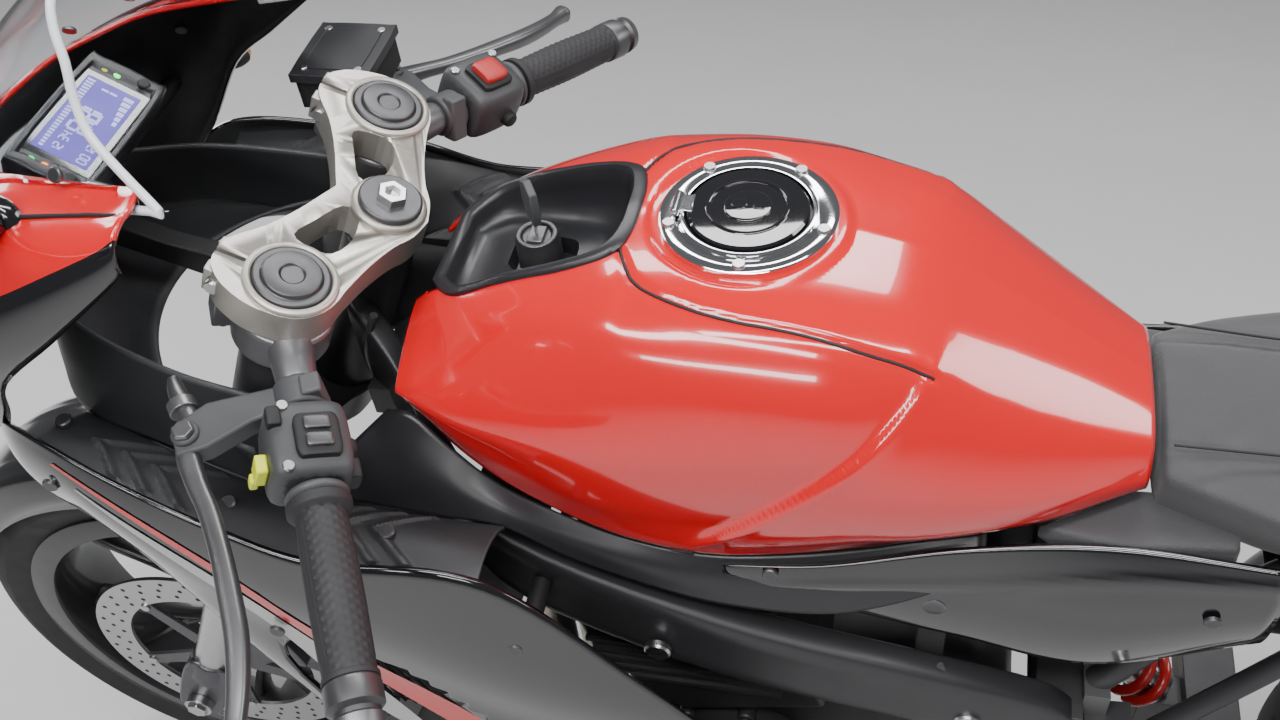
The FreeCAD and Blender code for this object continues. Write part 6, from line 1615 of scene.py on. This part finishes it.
def wheel_rim(name, axle, bead, hub_radius, hub_half, node, body):
    edge = bead + 6
    # Half of the rim's and the hub's section, as distance from the middle and radius
    rim = [(14, 200), (bead - 12, 212), (bead - 1, 216), (bead, 224), (bead + 1, 226), (edge - 1, 226),
           (edge, 224), (edge, 200), (edge - 3, 198), (16, 194)]
    hub = [(12, hub_radius + 8), (16, hub_radius), (hub_half - 3, hub_radius), (hub_half, hub_radius - 3),
           (hub_half, 10.4)]
    b = Build()
    for half, sides in ((rim, 128), (hub, 64)):
        b.turn([(-a, r) for a, r in reversed(half)] + half, axle, Y, sides, close=True)
    for i in range(5):
        for sign in SIDES:
            rows = []
            for t in (0, 0.25, 0.5, 0.75, 1.0, 1.08):
                reach = hub_radius * 0.7 + (200 - hub_radius * 0.7) * min(t, 1.02)
                centre = Vector((reach, 0, 200 * math.sin(math.radians(13) * sign) * ease(t * 1.1) * t))
                wide = 12 - 4 * t + 3 * max(0, t - 0.8) * 5
                rows.append(oval(centre, Z * wide * 0.75, Y * (13 + 2 * t), 20, 0.7))
            b.tube(lengthen(rows, 5), turned(90 + 72 * i, "Y", axle))
    b.make(name, RIM, "rim_paint", node, body, angle=40)
    b = Build().turn([(0, 5), (12, 5), (13, 4), (28, 4), (29, 4.6), (36, 4.6)], (190, 18, 0), (-0.8, 0.6, 0),
                     16, turned(54, "Y", axle))
    b.make(name + "_valve", CAP, "rim_paint", body=body)


def disc(name, axle, radius, inner, y, hub_face, hub_radius, node, body):
    thick = 2.25
    b = Build().turn([(-thick, inner), (-thick, radius), (thick, radius), (thick, inner)],
                     (axle.x, y, axle.z), Y, 128, close=True)
    b.make(name, DISC, "disc_steel", node, body, bevel=0.5)
    # The drilled holes, as thin dark discs on both faces: painted shade where the holes are
    b = Build()
    for face in SIDES:
        for k in range(30):
            for share, shift in ((0.25, 0), (0.52, 0.33), (0.78, 0.66)):
                a = TURN * (k + shift) / 30
                r = inner + (radius - inner) * share
                place = (axle.x + r * math.cos(a), y + 2.3 * face, axle.z + r * math.sin(a))
                b.turn([(0, 2.6), (0.12, 2.5), (0.13, 0.3)], place, (0, face, 0), 12)
    b.make(name + "_hole_painted_shade", DARK, "disc_steel", body=body)
    side = math.copysign(1, y)
    low, high = sorted((abs(hub_face), abs(y) + thick))
    b = Build().turn([(low, 14), (low, hub_radius), (high, hub_radius), (high, 14)], axle, (0, side, 0), 48,
                     close=True)
    rivets = Build()
    for k in range(5):
        b.plate([(hub_radius - 6, -2.2, -11), (inner - 8, -2.2, -8), (inner + 4, -2.2, -10),
                 (inner + 4, -2.2, 10), (inner - 8, -2.2, 8), (hub_radius - 6, -2.2, 11)], (0, 4.4, 0),
                turned(72 * k + 18, "Y", (axle.x, y, axle.z)))
        a = math.radians(72 * k + 18)
        for r in (inner - 1, hub_radius - 7):
            rivets.bolt((axle.x + r * math.cos(a), (abs(y) + 2.2) * side, axle.z - r * math.sin(a)),
                        (0, side, 0), 5.5, 2.5)
    b.make(name + "_carrier", CAP, "disc_steel", body=body, bevel=0.8)
    rivets.make(name + "_rivets", STEEL, "disc_steel", body=body)


def caliper(name, axle, outline, y0, y1, node, body):
    ring = smooth_flat([(axle.x + x, axle.z + z) for x, z in outline], 4, True)
    gap0, gap1 = (58, 66) if y0 > 0 else (-76, -68)
    b = Build().slab([(p.x, p.y) for p in ring], y0, gap0 - y0).slab([(p.x, p.y) for p in ring], gap1,
                                                                     y1 - gap1)
    centre = sum(ring, Vector()) / len(ring)
    hub = Vector((axle.x, axle.z, 0))
    out = (centre - hub).normalized()
    bridge = [(p.x, p.y) for p in ring if (p - hub).length > (centre - hub).length + 14]
    b.slab(bridge, gap0 - 1, gap1 - gap0 + 2)
    b.make(name, CAN, "caliper_paint", node, body, bevel=2.5, bevel_steps=3)
    b = Build()
    for sign, face in ((1, y1), (-1, y0)):
        for d in (-20, 20):
            b.turn([(-1, 13), (2, 12), (3, 9), (3, 0.5)], (centre.x - out.y * d, face, centre.y + out.x * d),
                   (0, sign, 0), 28)
        b.bolt((centre.x + out.x * 16, face, centre.y + out.y * 16), (0, sign, 0), 5, 5)
    b.make(name + "_bolts", CAP, "caliper_paint", body=body)


def sprocket():
    tip = CHAIN_PITCH / (2 * math.sin(math.pi / REAR_TEETH)) - 8.4
    # Columns: share of a tooth, depth below its tip
    tooth = ((0.0, 5.4), (0.2, 4.2), (0.42, 0.4), (0.5, 0), (0.58, 0.4), (0.8, 4.2))
    centre = REAR_AXLE + Y * 89
    ring = []
    for i in range(REAR_TEETH):
        for share, depth in tooth:
            a = TURN * (i + share) / REAR_TEETH
            ring.append(centre + (X * math.cos(a) + Z * math.sin(a)) * (tip - depth))
    inner = oval(centre, X * 60, Z * 60, len(ring))
    b = Build().grid([ring, [p + Y * 6 for p in ring], [p + Y * 6 for p in inner], inner], ring=True,
                     loop=True)
    nuts = Build()
    for k in range(6):
        b.box((40, 89.4, -9), (63, 94.6, 9), turned(60 * k, "Y", REAR_AXLE))
        a = math.radians(60 * k + 30)
        nuts.turn([(93, 7.5), (98, 7.5), (99, 6)], REAR_AXLE + (X * math.cos(a) + Z * math.sin(a)) * 38, Y, 6)
    b.turn([(62, 14), (62, 48), (91, 48), (93, 46), (93, 14)], REAR_AXLE, Y, 64, close=True)
    b.make("sprocket_ring", CHAIN, "chain_steel", "rear_sprocket", "rear_wheel", bevel=0.5)
    nuts.make("sprocket_nuts", STEEL, "chain_steel", body="rear_wheel")


def front_guard():
    rows = []
    for i in range(73):
        a = math.radians(28 + 122 * i / 72)
        taper = min(1.0, 0.55 + 0.45 * ease(min(i, 72 - i) / 10))
        row = []
        for k in range(29):
            t = k / 14 - 1
            y = 66.5 * t * (0.86 + 0.14 * taper)
            r = 314 - 10 * abs(t) ** 2.2 - 36 * ease((abs(t) - 0.82) / 0.18) * taper + 1.6 * hump(abs(y) - 34,
                                                                                                  4)
            row.append(FRONT_AXLE + Vector((r * math.cos(a), y, r * math.sin(a))))
        rows.append(row)
    b = Build().grid(rows)
    b.make("front_mudguard_shell", BLACK, "black_paint", "front_mudguard", "steering", thick=3.4,
           outward=False)
    b = Build()
    stay = ((-125, 205), (-95, 196), (-30, 262), (-40, 290), (-118, 262))
    for side in SIDES:
        b.slab([(FRONT_AXLE.x + x, FRONT_AXLE.z + z) for x, z in stay], min(63 * side, 82.5 * side), 19.5)
        b.turn([(-472, 20.6), (-472, 25), (-422, 25), (-422, 20.6)], leg(side), Z, 36, CLAMP, close=True)
    b.make("front_mudguard_stays", BLACK, "black_paint", body="steering", bevel=1.5)
    b = Build().turn([(-129, 15), (-120, 15), (-120, 10), (120, 10), (120, 15), (129, 15)], FRONT_AXLE, Y, 32)
    for side in SIDES:
        b.turn([(128, 12), (133, 11)], FRONT_AXLE, (0, side, 0), 6)
    b.make("front_axle_pin", STEEL, "steel", "front_axle", "steering", bevel=0.6)


def rear_caliper_bracket():
    outline = ((60, 26), (100, 26), (100, 80), (60, 80))
    b = Build().slab([(REAR_AXLE.x + x, REAR_AXLE.z + z) for x, z in outline], -105, 15)
    b.make("rear_caliper_bracket", CAP, "caliper_paint", bevel=2)


wheel_tyre("front_tyre_tread", FRONT_AXLE, 293, 55, 56, 43, "front_tyre", "front_wheel", 22)
wheel_tyre("rear_tyre_tread", REAR_AXLE, 306, 74, 76, 56, "rear_tyre", "rear_wheel", 20)
wheel_rim("front_wheel_rim", FRONT_AXLE, 43, 30, 50, "front_rim", "front_wheel")
wheel_rim("rear_wheel_rim", REAR_AXLE, 56, 38, 62, "rear_rim", "rear_wheel")
disc("front_brake_disc", FRONT_AXLE, 145, 105, 62, 50, 30, "front_disc", "front_wheel")
disc("rear_brake_disc", REAR_AXLE, 110, 76, -72, -62, 38, "rear_disc", "rear_wheel")
caliper("front_caliper_body", FRONT_AXLE, ((-152, 20), (-88, 60), (-70, 112), (-120, 128), (-168, 86)), 46,
        81, "front_caliper", "steering")
caliper("rear_caliper_body", REAR_AXLE, ((70, 62), (118, 30), (128, 62), (92, 104), (56, 104)), -90, -60,
        "rear_caliper", "chassis")
rear_caliper_bracket()
sprocket()
front_guard()


# Floor, light and camera
def stage():
    # The floor is 12 metres square, in cells of half a metre
    cells, cell = 24, 0.5
    steps = [(k - cells / 2) * cell for k in range(cells + 1)]
    n = cells + 1
    faces = [(i * n + j, (i + 1) * n + j, (i + 1) * n + j + 1, i * n + j + 1) for i in range(cells)
             for j in range(cells)]
    mesh = bpy.data.meshes.new("floor")
    mesh.from_pydata([(x, y, 0.0) for x in steps for y in steps], [], faces)
    mesh.materials.append(material("studio_floor", (0.60, 0.60, 0.60), 0.6, shade=0.03, grain=0.05,
                                   grain_size=60))
    floor = bpy.data.objects.new("studio_floor", mesh)
    bpy.context.scene.collection.objects.link(floor)
    # Columns: name, place, aim, power, width, height
    for name, place, aim, power, wide, high in (
            ("key_light", (0.4, 1.7, 3.0), (0.1, 0.0, 0.8), 62, 2.6, 0.36),
            ("strip_light", (-0.5, 0.8, 3.3), (0.0, 0.0, 0.8), 50, 2.6, 0.26),
            ("far_light", (0.3, -1.3, 3.1), (0.1, 0.0, 0.8), 52, 2.6, 0.45),
            ("side_light", (0.2, 3.4, 2.5), (0.0, 0.0, 0.6), 44, 2.8, 0.24),
            ("front_light", (3.2, -1.6, 2.2), (0.2, 0.0, 0.6), 50, 1.8, 1.0),
            ("rear_light", (-3.2, -0.6, 2.4), (0.0, 0.0, 0.7), 50, 1.8, 1.0)):
        data = bpy.data.lights.new(name, "AREA")
        data.energy = power
        data.shape = "RECTANGLE"
        data.size = wide
        data.size_y = high
        lamp = bpy.data.objects.new(name, data)
        lamp.location = place
        lamp.rotation_euler = (Vector(aim) - Vector(place)).to_track_quat("-Z", "Y").to_euler()
        bpy.context.scene.collection.objects.link(lamp)
    world = bpy.data.worlds.new("studio")
    bpy.context.scene.world = world
    world.use_nodes = True
    sky = world.node_tree.nodes["Background"].inputs
    sky["Color"].default_value = (0.86, 0.87, 0.90, 1)
    sky["Strength"].default_value = 0.16


def camera():
    yaw, pitch, roll = math.radians(-72.57), math.radians(-46.19), math.radians(-7.75)
    ahead = Vector((math.cos(yaw) * math.cos(pitch), math.sin(yaw) * math.cos(pitch), math.sin(pitch)))
    right = Vector((math.sin(yaw), -math.cos(yaw), 0))
    up = right.cross(ahead)
    across = right * math.cos(roll) + up * math.sin(roll)
    upward = -right * math.sin(roll) + up * math.cos(roll)
    facing = Matrix((across, upward, -ahead)).transposed().to_4x4()
    data = bpy.data.cameras.new("view")
    data.lens = 36.46
    data.sensor_width = 36
    data.clip_start = 0.02
    cam = bpy.data.objects.new("view", data)
    cam.matrix_world = Matrix.Translation(PLACE @ Vector((-31.55, 681.16, 1509.48))) @ LEAN @ facing
    bpy.context.scene.collection.objects.link(cam)
    bpy.context.scene.camera = cam


stage()
camera()
